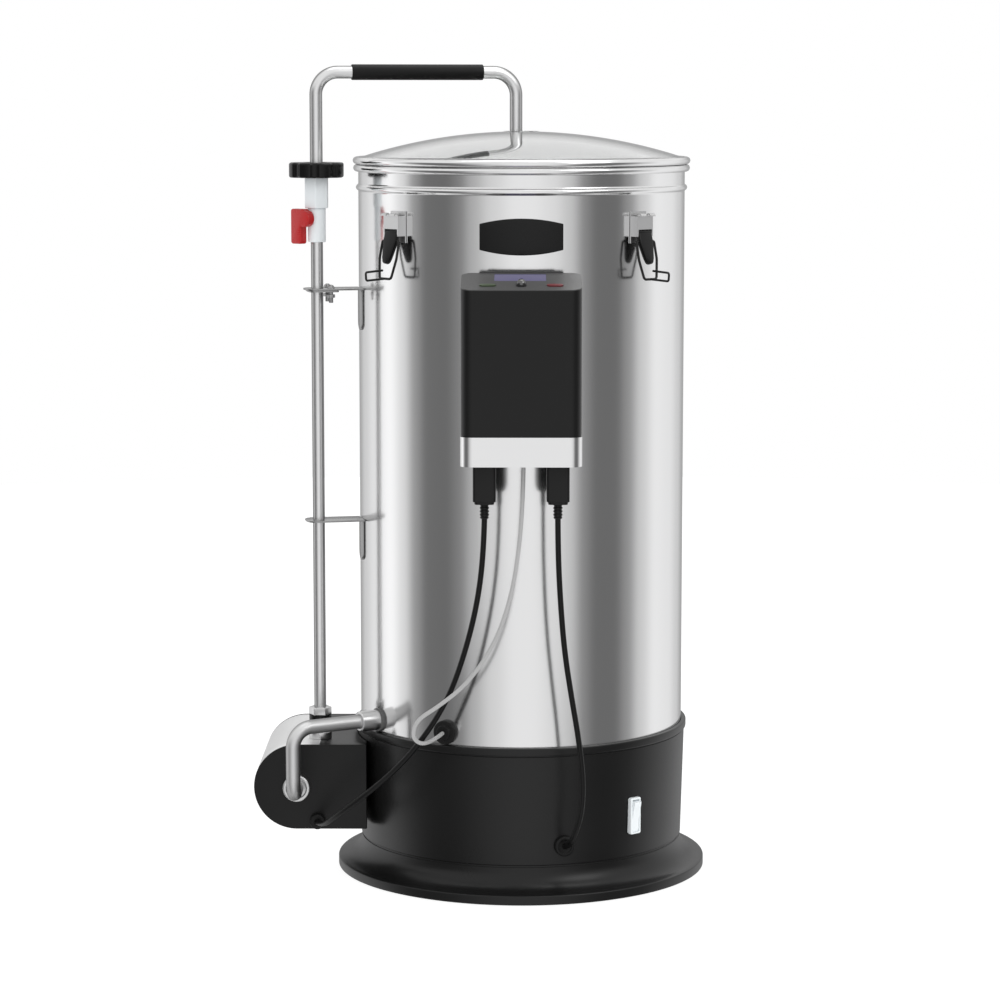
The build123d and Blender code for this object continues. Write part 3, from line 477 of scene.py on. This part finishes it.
def make_piece(name, bm, material, body, stands_for, sharp=32):
    """Writes a bmesh in millimetres as a finished piece in metres."""
    bmesh.ops.remove_doubles(bm, verts=bm.verts, dist=1e-4)
    bmesh.ops.recalc_face_normals(bm, faces=bm.faces)
    bmesh.ops.scale(bm, vec=(MM, MM, MM), verts=bm.verts)
    mesh = bpy.data.meshes.new(name)
    bm.to_mesh(mesh)
    bm.free()
    mesh.shade_smooth()
    mesh.set_sharp_from_angle(angle=math.radians(sharp))
    mesh.materials.append(material)
    piece = bpy.data.objects.new(name, mesh)
    scene.collection.objects.link(piece)
    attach(piece, body)
    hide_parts(*stands_for)
    print(name, len(mesh.polygons), "faces")
    return piece


# %% [markdown]
# ## The boiler
# The boiler is a deep steel can: a drawn wall with one pressed bead and a rolled rim. Turning its outline
# around the axis gives an even wall whose reflections stay clean, which facets would break.

# %% Boiler shell
WALL_R, INNER_R = 150.0, 148.8
FOOT_Z, BEAD_Z, RIM_Z = 134, 634.3, 652.0
shell = bmesh.new()
outline = [(0, 137), (INNER_R, 137), (INNER_R, FOOT_Z), (WALL_R, FOOT_Z), (WALL_R, FOOT_Z + 0.8)]
outline += [(WALL_R, FOOT_Z + 480 * i / 12) for i in range(1, 13)]
outline += [(WALL_R, z) for z in (625.0, 629.8, 630.9)]  # close loops keep the bead's shading to the bead
outline += curve((149.45, BEAD_Z), 2.757, -68, 68, 14)
outline += [(WALL_R, z) for z in (637.7, 638.8, 643, 647.4, 648.6)]
outline += [*curve((151.28, RIM_Z), 3.28, -104, 104, 20), (WALL_R, 655.2)]
outline += [(INNER_R, 655.0), (INNER_R, 637.0), (150.5, BEAD_Z), (INNER_R, 631.6), (INNER_R, 138.2), (0, 138.2)]
turn(shell, outline, segments=256)
make_piece("boiler_wall", shell, boiler_steel, "base", ["boiler_shell"], sharp=40)

# %% [markdown]
# ## The lid
# The lid is a shallow glass dome in a steel rim. The glass is solid, four millimetres thick, so it bends
# and mirrors light as a real lid does. A soft trim lines the hole that the pipe comes through.

# %% Glass dome and rim
DOME_R, DOME_TOP, GLASS_T, HOLE_R, EDGE_R = 481.0, 685.0, 4.0, 14.0, 149.0
centre_z = DOME_TOP - DOME_R


def dome_line(radius, inner, outer, steps):
    rs = [inner + (outer - inner) * i / steps for i in range(steps + 1)]
    return [(r, centre_z + math.sqrt(radius**2 - r**2)) for r in rs]


dome = bmesh.new()
top_line = dome_line(DOME_R, HOLE_R + 0.05, EDGE_R - 0.6, 28)
under_line = dome_line(DOME_R - GLASS_T, HOLE_R + 0.05, EDGE_R - 0.6, 28)
turn(dome, top_line + [(EDGE_R, top_line[-1][1] - 1.0)] + under_line[::-1], segments=192)
make_piece("lid_dome", dome, glass, "lid", ["lid_glass"], sharp=50)

rim = bmesh.new()
rim_line = [(143.5, 655.5), (146.4, 655.5), (146.4, 646.2), (146.9, 646), (147.6, 646.2), (147.8, 655.9)]
rim_line += [(150.0, 655.9), *curve((151.72, 658.75), 3.28, -118, 118, 22)]
rim_line += [(149.3, 661.6), (149.3, 656.9), (143.5, 656.9)]
turn(rim, rim_line, segments=192)
make_piece("lid_band", rim, boiler_steel, "lid", ["lid_rim"], sharp=40)

# %% [markdown]
# ## The base
# The moulded base is one shell: a lip that holds the boiler's foot, a slightly tapered skirt, and a wide
# ring that keeps the tall boiler from tipping. The shallow groove under the lip and the seam above the
# ring are part of the same outline.

# %% Base skirt
skirt = bmesh.new()
skirt_line = soften([
    (150.25, 139.5, 0.3), (154.5, 139.5, 1.0), (154.5, 132.9, 0.8), (152.4, 132.5, 0.3), (152.3, 131.6, 0.3),
    (152.9, 131.2, 0.3), (150.0, 32.2, 0.6), (148.9, 31.6, 0.2), (148.9, 30.2, 0.2), (149.7, 29.5, 0.2),
], 3)
skirt_line += curve((169.0, 29.2), 19.3, 180, 262, 18)
skirt_line += soften([(168.0, 10.0), (171.7, 9.2, 1.1), (171.7, 1.0, 0.5), (168.7, 1.0, 0.3), (168.7, 7.0)], 4)
skirt_line += [(160.0, 9.0), (150.0, 17.0), (146.4, 29.0), (149.4, 128.0), (146.5, 129.0)]
skirt_line += [(146.5, 133.9), (150.25, 133.9)]
turn(skirt, skirt_line, segments=224)
SWITCH_ANGLE, SWITCH_Z = 42.0, 70.1
HOLE_HALF_W, HOLE_HALF_H, SKIRT_SIDE = 5.6, 15.8, 130
to_switch = around(SWITCH_ANGLE) @ Vector((0, -1, 0))
across = around(SWITCH_ANGLE) @ Vector((1, 0, 0))
upward = Vector((0, 0, 1))
hole_sides = [(HOLE_HALF_W, across), (-HOLE_HALF_W, across)]
hole_sides += [(SWITCH_Z + HOLE_HALF_H, upward), (SWITCH_Z - HOLE_HALF_H, upward)]
for offset, normal in hole_sides:
    near = [f for f in skirt.faces if f.calc_center_median().dot(to_switch) > SKIRT_SIDE]
    part = list({g for f in near for g in (*f.verts, *f.edges, f)})
    bmesh.ops.bisect_plane(skirt, geom=part, plane_co=normal * offset, plane_no=normal, dist=1e-5)


def in_switch_hole(face):
    at = face.calc_center_median()
    beside = abs(at.dot(across)) < HOLE_HALF_W and abs(at.z - SWITCH_Z) < HOLE_HALF_H
    return beside and at.dot(to_switch) > SKIRT_SIDE


bmesh.ops.delete(skirt, geom=[f for f in skirt.faces if in_switch_hole(f)], context="FACES")
bmesh.ops.bridge_loops(skirt, edges=[e for e in skirt.edges if e.is_boundary])
make_piece("base_shell", skirt, black_plastic, "base", ["base_skirt"], sharp=40)

# %% [markdown]
# ## The pump
# The pump hangs at the boiler's left in a case with a round nose. Its end is hollowed to follow the
# skirt, with a narrow gap between them. The case is a moulded black shell. Its round nose takes a bright
# metal colour, a painted reflection of the studio that the glossy case mirrors there.

# %% Pump case
PUMP_X, PUMP_Z, PUMP_R = -206.0, 87.3, 39.5
CASE_END, CASE_CLEAR = -141.7, 153.35
case = bmesh.new()
nose = curve((PUMP_X, PUMP_Z), PUMP_R, 90, 270, 48)
plate(case, nose + [(CASE_END, PUMP_Z - PUMP_R), (CASE_END, PUMP_Z + PUMP_R)], -68.5, 75.0,
      facing((0, -1, 0)), bevel=0.9)
slice_across(case, (0, 1, 0), range(-57, 58, 6))
for vert in case.verts:
    if vert.co.x > CASE_END - 1.2 and abs(vert.co.y) < 58:
        vert.co.x -= math.sqrt(CASE_CLEAR**2 - vert.co.y**2) + CASE_END
bmesh.ops.delete(case, geom=[f for f in case.faces if f.calc_center_median().y > 68.4], context="FACES")
PAINTED_REFLECTION_END = -185.0  # the painted reflection covers the round side as far as here
slice_across(case, (1, 0, 0), [PAINTED_REFLECTION_END])
# faces on the round side take the second material, the bright painted reflection
for face in case.faces:
    if face.calc_center_median().x < PAINTED_REFLECTION_END and abs(face.normal.y) < 0.2:
        face.material_index = 1
pump_shell = make_piece("pump_shell", case, case_plastic, "base", ["pump_case"])
# the second material: the nose's painted reflection
pump_shell.data.materials.append(nose_painted_reflection)
wall = pump_shell.modifiers.new("wall", "SOLIDIFY")
wall.thickness = 2.5 * MM
wall.offset = -1

# %% [markdown]
# ## Pipes
# All the pipes are drawn tube. The inlet leaves the boiler through a socket with a seal behind it,
# turns twice and enters the pump's front. The riser stands on the pump and is held by two sheet brackets.

# %% Inlet, riser and top pipe
RISER = Vector((-186.0, -42.0, 0.0))
RISER_D, RISER_ANGLE = 190.68, 12.72
INLET_ANGLE, INLET_Z, INLET_Y = -60, 150.5, -119
SPOUT_X = -5
on_riser = around(RISER_ANGLE)
at_riser = Matrix.Translation(RISER)


def wall_point(angle, radius, z):
    return around(angle) @ Vector((0, -radius, z))


inlet = bmesh.new()
inlet_corners = [wall_point(INLET_ANGLE, 143, INLET_Z), (PUMP_X, INLET_Y, INLET_Z)]
inlet_corners += [(PUMP_X, INLET_Y, PUMP_Z), (PUMP_X, -74.1, PUMP_Z)]
bend_tube(inlet, inlet_corners, [18, 18], 6.5, 1.0, bend_steps=18)
make_piece("inlet_tube", inlet, satin_steel, "base", ["inlet_pipe"])

riser = bmesh.new()
turn(riser, [(4.6, 128), (5.5, 128), (5.5, 591.6), (4.6, 591.6)], 48, place=at_riser)
make_piece("riser_tube", riser, tube_steel, "base", ["riser_pipe"])

ARM_Z = 738.7
top = bmesh.new()
top_corners = [RISER + Vector((0, 0, 650.2)), RISER + Vector((0, 0, ARM_Z))]
top_corners += [(SPOUT_X, 0, ARM_Z), (SPOUT_X, 0, 672.5)]
bend_tube(top, top_corners, [20, 21], 5.75, 0.9, bend_steps=20)
turn(top, [(4.9, 650.2), (9.7, 650.2), (9.7, 652.3), (4.9, 652.3)], 48, place=at_riser)
make_piece("top_tube", top, tube_steel, "top_pipe", ["top_pipe"])

arm = Vector((SPOUT_X, 0, 0)) - RISER
grip_ends = [RISER + arm * ((x - RISER.x) / arm.x) + Vector((0, 0, ARM_Z)) for x in (-154.0, -35.4)]
grip = bmesh.new()
grip_length = (grip_ends[1] - grip_ends[0]).length
turn(grip, soften([(5.8, 0), (7.1, 0, 0.8), (7.1, grip_length, 0.8), (5.8, grip_length)], 4), 48,
     place=facing(arm, grip_ends[0]))
make_piece("grip_sleeve", grip, foam_grip, "top_pipe", ["pipe_grip"])

# %% Fittings on the pipes
fittings = bmesh.new()
flange = soften([(6.5, 75), (12.6, 75), (12.6, 83, 1.4), (9.5, 83, 0.5), (8.8, 81.6, 0.4), (6.5, 81.6)], 4)
turn(fittings, flange, 64, place=facing((0, -1, 0), (PUMP_X, 0, PUMP_Z)))
socket = soften([(6.5, 150.6), (9.3, 150.6), (9.3, 171, 1.0), (6.5, 171, 0.4)], 4)
turn(fittings, socket, 64, place=from_wall(INLET_ANGLE, INLET_Z))
collar = soften([(9.2, 126.9), (10.6, 126.9, 0.4), (10.6, 133.4, 0.8), (9.2, 133.4)], 3)
turn(fittings, collar, 64, place=at_riser)
plate(fittings, hexagon(21.2), 149.1, 156.1, at_riser, bevel=0.6)
locknut = [(7.0, 142.2), (10.5, 142.2), (10.5, 148), (7.0, 148)]
turn(fittings, locknut, 32, place=from_wall(INLET_ANGLE, INLET_Z))
make_piece("fitting_set", fittings, fitting_steel, "base", ["pipe_fittings"])

# %% Brackets that hold the riser
straps = bmesh.new()
for top_z in (543.7, 331.3):
    plan = soften([(-150.3, -15), (-150.3, 15), (-RISER_D - 12, 15, 10), (-RISER_D - 12, -15, 10)], 10)
    plate(straps, plan, top_z - 1.6, top_z, on_riser, bevel=0.35, segments=2)
    foot = soften([(-9, top_z - 39, 8.9), (9, top_z - 39, 8.9), (9, top_z - 0.4), (-9, top_z - 0.4)], 10)
    plate(straps, foot, 150.1, 151.7, on_riser @ facing((-1, 0, 0)), bevel=0.35, segments=2)
clamp_plan = soften([(-172.7, -14, 2), (-172.7, 14, 2), (-199.7, 14, 6), (-199.7, -14, 6)], 6)
plate(straps, clamp_plan, 540.45, 542.05, on_riser, bevel=0.35, segments=2)
bolt = [(0, 530.8), (1.8, 530.8), (2.0, 531.2), (2.0, 543.7), (3.6, 543.75), (3.3, 545.2), (2.3, 546.5)]
bolt += [(1.1, 547.2), (0, 547.3)]
for y in (-10, 10):
    seat = on_riser @ Matrix.Translation((-RISER_D + 11, y, 0))
    turn(straps, bolt, 24, closed=False, place=seat)
    plate(straps, hexagon(7.8), 535.4, 538.4, seat, bevel=0.3, segments=2)
make_piece("riser_brackets", straps, bracket_steel, "base", ["pipe_brackets"])

# %% [markdown]
# ## The valve and the union
# Over the riser sit a small ball valve with a red lever, a six-sided adapter and the lobed union nut that
# lets the top pipe off. The nut's outline dips at each of its eight hollows.

# %% Valve
OUT = Vector((-1, -1, 0)).normalized()
STEM = RISER + Vector((0, 0, 607))
valve = bmesh.new()
body = soften([(4, 585.6), (8.2, 585.6, 0.9), (8.2, 616.3, 0.9), (4, 616.3)], 4)
turn(valve, body, 64, place=at_riser)
neck = soften([(2.5, 5), (5.2, 5), (5.2, 8.5, 0.3), (2.5, 8.5)], 3)
turn(valve, neck, 40, place=facing(OUT, STEM))
make_piece("valve_shell", valve, white_plastic, "base", ["valve_body"])

lever = bmesh.new()
lever_line = [(16.9, 8.8, 2.2), (1.6, 8.8, 1.6), *curve((0, 0), 7.4, 95, 290, 20)]
lever_line += [(3.5, -8.4, 0.8), (3.5, -22.9, 2.4), (16.9, -22.9, 2.4)]
plate(lever, soften(lever_line, 6), 0, 8.0, facing(-OUT, STEM + OUT * 16.8), bevel=1.2, segments=4)
make_piece("red_lever", lever, red_plastic, "valve_lever", ["valve_lever"])

adapter = bmesh.new()
plate(adapter, hexagon(23.68, 30), 616.35, 643.85, at_riser, bevel=0.8)
turn(adapter, [(4.2, 640), (10, 640), (10, 649.4), (4.2, 649.4)], 48, place=at_riser)
make_piece("hex_adapter", adapter, white_plastic, "base", ["adapter"])

# %% Union nut
NUT_R, HOLLOW_R, HOLLOW_AT, LOBES = 25.0, 6.6, 29.6, 8
NUT_Z, NUT_HEIGHT, NUT_BORE, AROUND = 643.95, 13.65, 10.1, 192


def nut_radius(angle):
    """The nut's outline: a circle, less the hollows."""
    off = (angle + math.pi / LOBES) % (2 * math.pi / LOBES) - math.pi / LOBES
    inside = HOLLOW_R**2 - (HOLLOW_AT * math.sin(off))**2
    if inside < 0:
        return NUT_R
    return min(NUT_R, HOLLOW_AT * math.cos(off) - math.sqrt(inside))


nut = bmesh.new()
angles = [2 * math.pi * i / AROUND for i in range(AROUND)]
wheel = [(nut_radius(a) * math.cos(a), nut_radius(a) * math.sin(a)) for a in angles]
rim_loop = [nut.verts.new((x, y, NUT_Z)) for x, y in wheel]
for pair in zip(rim_loop, rim_loop[1:] + rim_loop[:1]):
    nut.edges.new(pair)
bmesh.ops.create_circle(nut, segments=AROUND, radius=NUT_BORE, matrix=Matrix.Translation((0, 0, NUT_Z)))
bottom = bmesh.ops.bridge_loops(nut, edges=nut.edges[:])["faces"]
lifted = bmesh.ops.extrude_face_region(nut, geom=bottom)["geom"]
top_verts = [g for g in lifted if isinstance(g, bmesh.types.BMVert)]
bmesh.ops.translate(nut, vec=(0, 0, NUT_HEIGHT), verts=top_verts)
bmesh.ops.recalc_face_normals(nut, faces=nut.faces)
hard = [e for e in nut.edges if e.calc_face_angle() > 0.6 and e.verts[0].co.xy.length > 15]
bmesh.ops.bevel(nut, geom=hard, offset=1.9, segments=4, affect="EDGES", profile=0.5, material=-1)
turn(nut, [(6.0, 652.6), (NUT_BORE, 652.6), (NUT_BORE, 657.2), (6.0, 657.2)], 64)
bmesh.ops.translate(nut, vec=RISER, verts=nut.verts)
make_piece("lobed_nut", nut, gloss_black, "union_nut", ["union_nut"])

# %% [markdown]
# ## Plugs, glands and the badge
# Each plug has a ribbed sleeve that keeps the cord from kinking. Where a cord enters the object there is a
# round gland. The badge is a plain plate bent to the wall.

# %% Plugs
PLUG_X, PLUG_Y = 32.0, -195


def plug(name, x, node):
    """A plug under the controller: a block, a smaller collar and a ribbed sleeve."""
    bm = bmesh.new()
    blocks = ((10, 14, 2.4, 368.5, 400.4, 0.8), (8.6, 11.5, 3, 366.0, 369.0, 0.7))
    for half_w, half_d, corner, low, high, bevel in blocks:
        left, right, front, rear = x - half_w, x + half_w, PLUG_Y - half_d, PLUG_Y + half_d
        plan = [(left, front, corner), (right, front, corner), (right, rear, corner), (left, rear, corner)]
        plate(bm, soften(plan, 5), low, high, bevel=bevel)
    sleeve = [(0, 366.5), (4.2, 366.5)]
    for z in (364.6, 361.6, 358.6, 355.6):
        sleeve += [(4.1, z), (3.4, z - 0.5), (3.4, z - 1.4), (4.0, z - 1.9)]
    sleeve += [(3.5, 352.9), (3.1, 352.5), (0, 352.5)]
    turn(bm, sleeve, 40, closed=False, place=Matrix.Translation((x, PLUG_Y, 0)))
    return make_piece(name, bm, case_plastic, "base", [node])


heater_plug = plug("heater_plug_body", PLUG_X, "heater_plug")
pump_plug = plug("pump_plug_body", -PLUG_X, "pump_plug")

# %% Glands
glands = bmesh.new()
heater_gland = [(2.5, 149.0), (9.2, 149.0), (9.2, 155.0, 1.6), (6.4, 155.0, 0.5), (5.6, 154.2, 0.4)]
turn(glands, soften([*heater_gland, (2.5, 154.2)], 4), 64, place=from_wall(14.9, 49.4))
sensor_gland = [(1.85, 149.0), (10.9, 149.0), (10.9, 154.6, 1.2), (7.2, 155.0, 0.4), (6.6, 157.0, 0.9)]
turn(glands, soften([*sensor_gland, (1.85, 157.0, 0.4)], 4), 64, place=from_wall(-26.6, 151.0))
pump_gland = [(2.5, 73.0), (7.0, 73.0), (7.0, 81.0, 1.4), (2.5, 81.0, 0.4)]
turn(glands, soften(pump_gland, 4), 48, place=facing((0, -1, 0), (-187.0, 0, 55.5)))
boot = [(1.85, 399.0, 0.3), (3.25, 399.0, 0.8), (3.25, 405), (1.85, 405)]
turn(glands, soften(boot, 3), 32, place=Matrix.Translation((2.0, -200.0, 0)))
make_piece("gland_set", glands, rubber, "base", ["cord_glands"])

# %% Badge
badge = bmesh.new()
HALF_W, HALF_H, BOW, BADGE_Z = 36.8, 11.4, 4.7, 595.1
bow_radius = (HALF_W**2 + BOW**2) / (2 * BOW)
bow_angle = math.degrees(math.asin(HALF_W / bow_radius))
over = curve((0, BADGE_Z + HALF_H + BOW - bow_radius), bow_radius, 90 - bow_angle, 90 + bow_angle, 24)
under = curve((0, BADGE_Z - HALF_H - BOW + bow_radius), bow_radius, 270 - bow_angle, 270 + bow_angle, 24)
plate(badge, over + under, 150.1, 151.85, facing((0, -1, 0)), bevel=0.5)
slice_across(badge, (1, 0, 0), range(-36, 37, 3))
for vert in badge.verts:
    vert.co.y = -math.sqrt(vert.co.y**2 - vert.co.x**2)
make_piece("name_plate", badge, gloss_black, "base", ["badge"])

# %% [markdown]
# ## Latches
# Four over-centre latches stand around the wall. Each has a moulded lever and a wire bail whose sides
# bow outward, with an open hook at its foot. One function makes them all, turned to their places.

# %% Latches
LATCH_ANGLES = (-46.6, 43.4, 133.4, -136.6)
LATCH_PIN = Vector((0, -157.4, 597.5))
LATCH_LEAN = math.radians(16)
BAIL_DROP = 8
BAIL_PIN = LATCH_PIN - BAIL_DROP * Vector((0, math.sin(LATCH_LEAN), math.cos(LATCH_LEAN)))


def latch(number, angle):
    """One latch: a lever that leans out about its pin, and the wire bail in its sides."""
    place = around(angle)
    pin = Matrix.Translation(LATCH_PIN)
    lean = pin @ Matrix.Rotation(-LATCH_LEAN, 4, "X") @ pin.inverted()
    lever = bmesh.new()
    blade = [(-5.0, 573.5, 1.5), (-8.2, 588, 6), (-8.2, 598.0), (8.2, 598.0), (8.2, 588, 6), (5.0, 573.5, 1.5)]
    blade += [(3.4, 569.7), (1.8, 568.7), (0, 568.4), (-1.8, 568.7), (-3.4, 569.7)]
    plate(lever, soften(blade, 6), 155.0, 159.8, facing((0, -1, 0)), bevel=1.3, segments=4)
    barrel = soften([(1.05, -8.2), (2.5, -8.2, 0.5), (2.5, 8.2, 0.5), (1.05, 8.2)], 3)
    turn(lever, barrel, 32, place=facing((1, 0, 0), LATCH_PIN))
    bmesh.ops.transform(lever, matrix=place @ lean, verts=lever.verts)
    lever_node = f"latch_lever_{number}"
    make_piece(f"latch_grip_{number}", lever, gloss_black, lever_node, [lever_node])

    wire = bmesh.new()
    side = [(5.4, *BAIL_PIN.yz), (11.0, *BAIL_PIN.yz), (11.3, BAIL_PIN.y - 3.4, 574), (7.6, -166.4, 556.5)]
    bail = side + [(-x, y, z) for x, y, z in side[::-1]]
    bend_tube(wire, bail, [2, 20, 3, 3, 20, 2], 1.15, segments=16, bend_steps=8)
    hook = [(0, -166.4, 556.5), (0, -188.6, 555.6), (0, -189.2, 563), (0, -169.5, 564.0)]
    bend_tube(wire, hook, [1.8, 1.8], 1.0, segments=16, bend_steps=8)
    bmesh.ops.transform(wire, matrix=place, verts=wire.verts)
    bail_node = f"latch_bail_{number}"
    make_piece(f"latch_wire_{number}", wire, wire_black, bail_node, [bail_node])


for number, angle in enumerate(LATCH_ANGLES, start=1):
    latch(number, angle)

# %% [markdown]
# ## The cords
# Two black power cords come down from the plugs under the controller, and a thin grey one runs to the
# temperature sensor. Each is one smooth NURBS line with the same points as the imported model's route.


# %% Cords
def lay_cord(name, thick, route, material, slot, **facts):
    """A free cord, as a round curve along a given route in millimetres."""
    line = bpy.data.curves.new(name, "CURVE")
    line.dimensions = "3D"
    line.bevel_depth = thick / 2 * MM
    line.bevel_resolution = 6
    line.use_fill_caps = True
    spline = line.splines.new("NURBS")
    spline.points.add(len(route) - 1)
    for point, place in zip(spline.points, route):
        point.co = (*[value * MM for value in place], 1)
    spline.order_u = 3
    spline.use_endpoint_u = True
    spline.resolution_u = 24
    line.materials.append(material)
    cord = bpy.data.objects.new(name, line)
    scene.collection.objects.link(cord)
    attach(cord, "base")
    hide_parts(name.replace("_line", ""))


HEATER_ROUTE = [
    (39.86, -149.79, 49.4), (43.6, -166.0, 54.5), (48.6, -175.5, 67.5), (54.0, -181.5, 88.0),
    (55.2, -185.0, 117.0), (51.0, -188.5, 155.0), (44.5, -192.0, 193.0), (38.0, -195.0, 235.0),
    (34.3, -196.4, 280.0), (32.2, -195.6, 322.0), (32.0, -195.0, 352.4),
]
PUMP_ROUTE = [
    (-187.0, -81.0, 55.5), (-180.0, -115.0, 60.0), (-163.0, -138.0, 77.0), (-137.0, -154.0, 99.0),
    (-109.0, -160.0, 124.0), (-84.0, -165.0, 155.0), (-63.0, -177.0, 192.0), (-48.5, -187.0, 235.0),
    (-38.0, -194.0, 279.0), (-32.8, -195.6, 322.0), (-32.0, -195.0, 352.4),
]
SENSOR_ROUTE = [
    (2.0, -200.0, 398.95), (1.6, -201.6, 370.0), (-1.6, -206.0, 328.0), (-8.6, -206.0, 285.0),
    (-22.5, -200.0, 243.5), (-46.0, -193.0, 207.0), (-72.0, -190.5, 185.5), (-93.0, -186.5, 171.5),
    (-96.0, -180.0, 153.0), (-83.0, -170.5, 146.0), (-70.3, -140.38, 151.0),
]
lay_cord("heater_cord_line", 5.0, HEATER_ROUTE, cord_black, "rubber", length=0.322, far_end="plug",
         with_pieces=[heater_plug])
lay_cord("pump_cord_line", 5.0, PUMP_ROUTE, cord_black, "rubber", length=0.392, far_end="plug",
         with_pieces=[pump_plug])
lay_cord("sensor_cord_line", 3.6, SENSOR_ROUTE, cord_grey, "grey_cord", length=0.329, far_end="object")

# %% [markdown]
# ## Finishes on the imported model's own pieces
# The pieces whose shape is already right stay as they are, and take a finished material.

# %% Materials by node
NODE_FINISH = {
    "base_plate": black_plastic, "foot_ring": rubber, "cover_screws": fitting_steel,
    "basket_wall": boiler_steel, "grain_screens": fitting_steel, "screen_seals": silicone,
    "overflow_pipe": tube_steel, "heat_spreader": spreader_metal, "heating_element": motor_iron,
    "lid_seals": glass, "pipe_seals": seal_grey, "button_left": green_plastic,
    "button_right": red_button, "button_centre": chrome, "control_board": board_green,
    "controller_band": band_metal, "controller_bracket": panel_plastic, "controller_case": case_plastic,
    "controller_panel": panel_plastic, "display_window": display, "power_sockets": black_plastic,
    "pump_impeller": fitting_steel, "pump_motor": motor_iron, "pump_rear_cover": case_plastic,
    "pump_volute": gloss_black, "sensor_probe": tube_steel, "switch_housing": white_plastic,
    "switch_rocker": white_plastic, "latch_mounts": fitting_steel, "valve_ball": chrome,
}
for name, material in NODE_FINISH.items():
    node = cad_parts[name]
    for holder in node.material_slots:
        holder.material = material
print("finished nodes", len(NODE_FINISH))

# %% [markdown]
# ## Floor
# The floor is a wide pale disc that glows almost to white, so it meets the background with no horizon and
# keeps a faint contact shadow. It is left out of mirror reflections.

# %% Floor
FLOOR_RADIUS = 3.0  # metres
floor_paint = finish("floor_paint", grey(0.16), grey(0.15), 0.6, 0.03, 3, Emission_Strength=0.92)
floor_paint.node_tree.nodes["Principled BSDF"].inputs["Emission Color"].default_value = (1, 1, 1, 1)
floor_disc = bmesh.new()
bmesh.ops.create_circle(floor_disc, cap_ends=True, segments=96, radius=FLOOR_RADIUS)
floor_mesh = bpy.data.meshes.new("floor_disc")
floor_disc.to_mesh(floor_mesh)
floor_disc.free()
floor_mesh.materials.append(floor_paint)
floor_piece = bpy.data.objects.new("floor_disc", floor_mesh)
scene.collection.objects.link(floor_piece)
floor_piece.visible_glossy = False
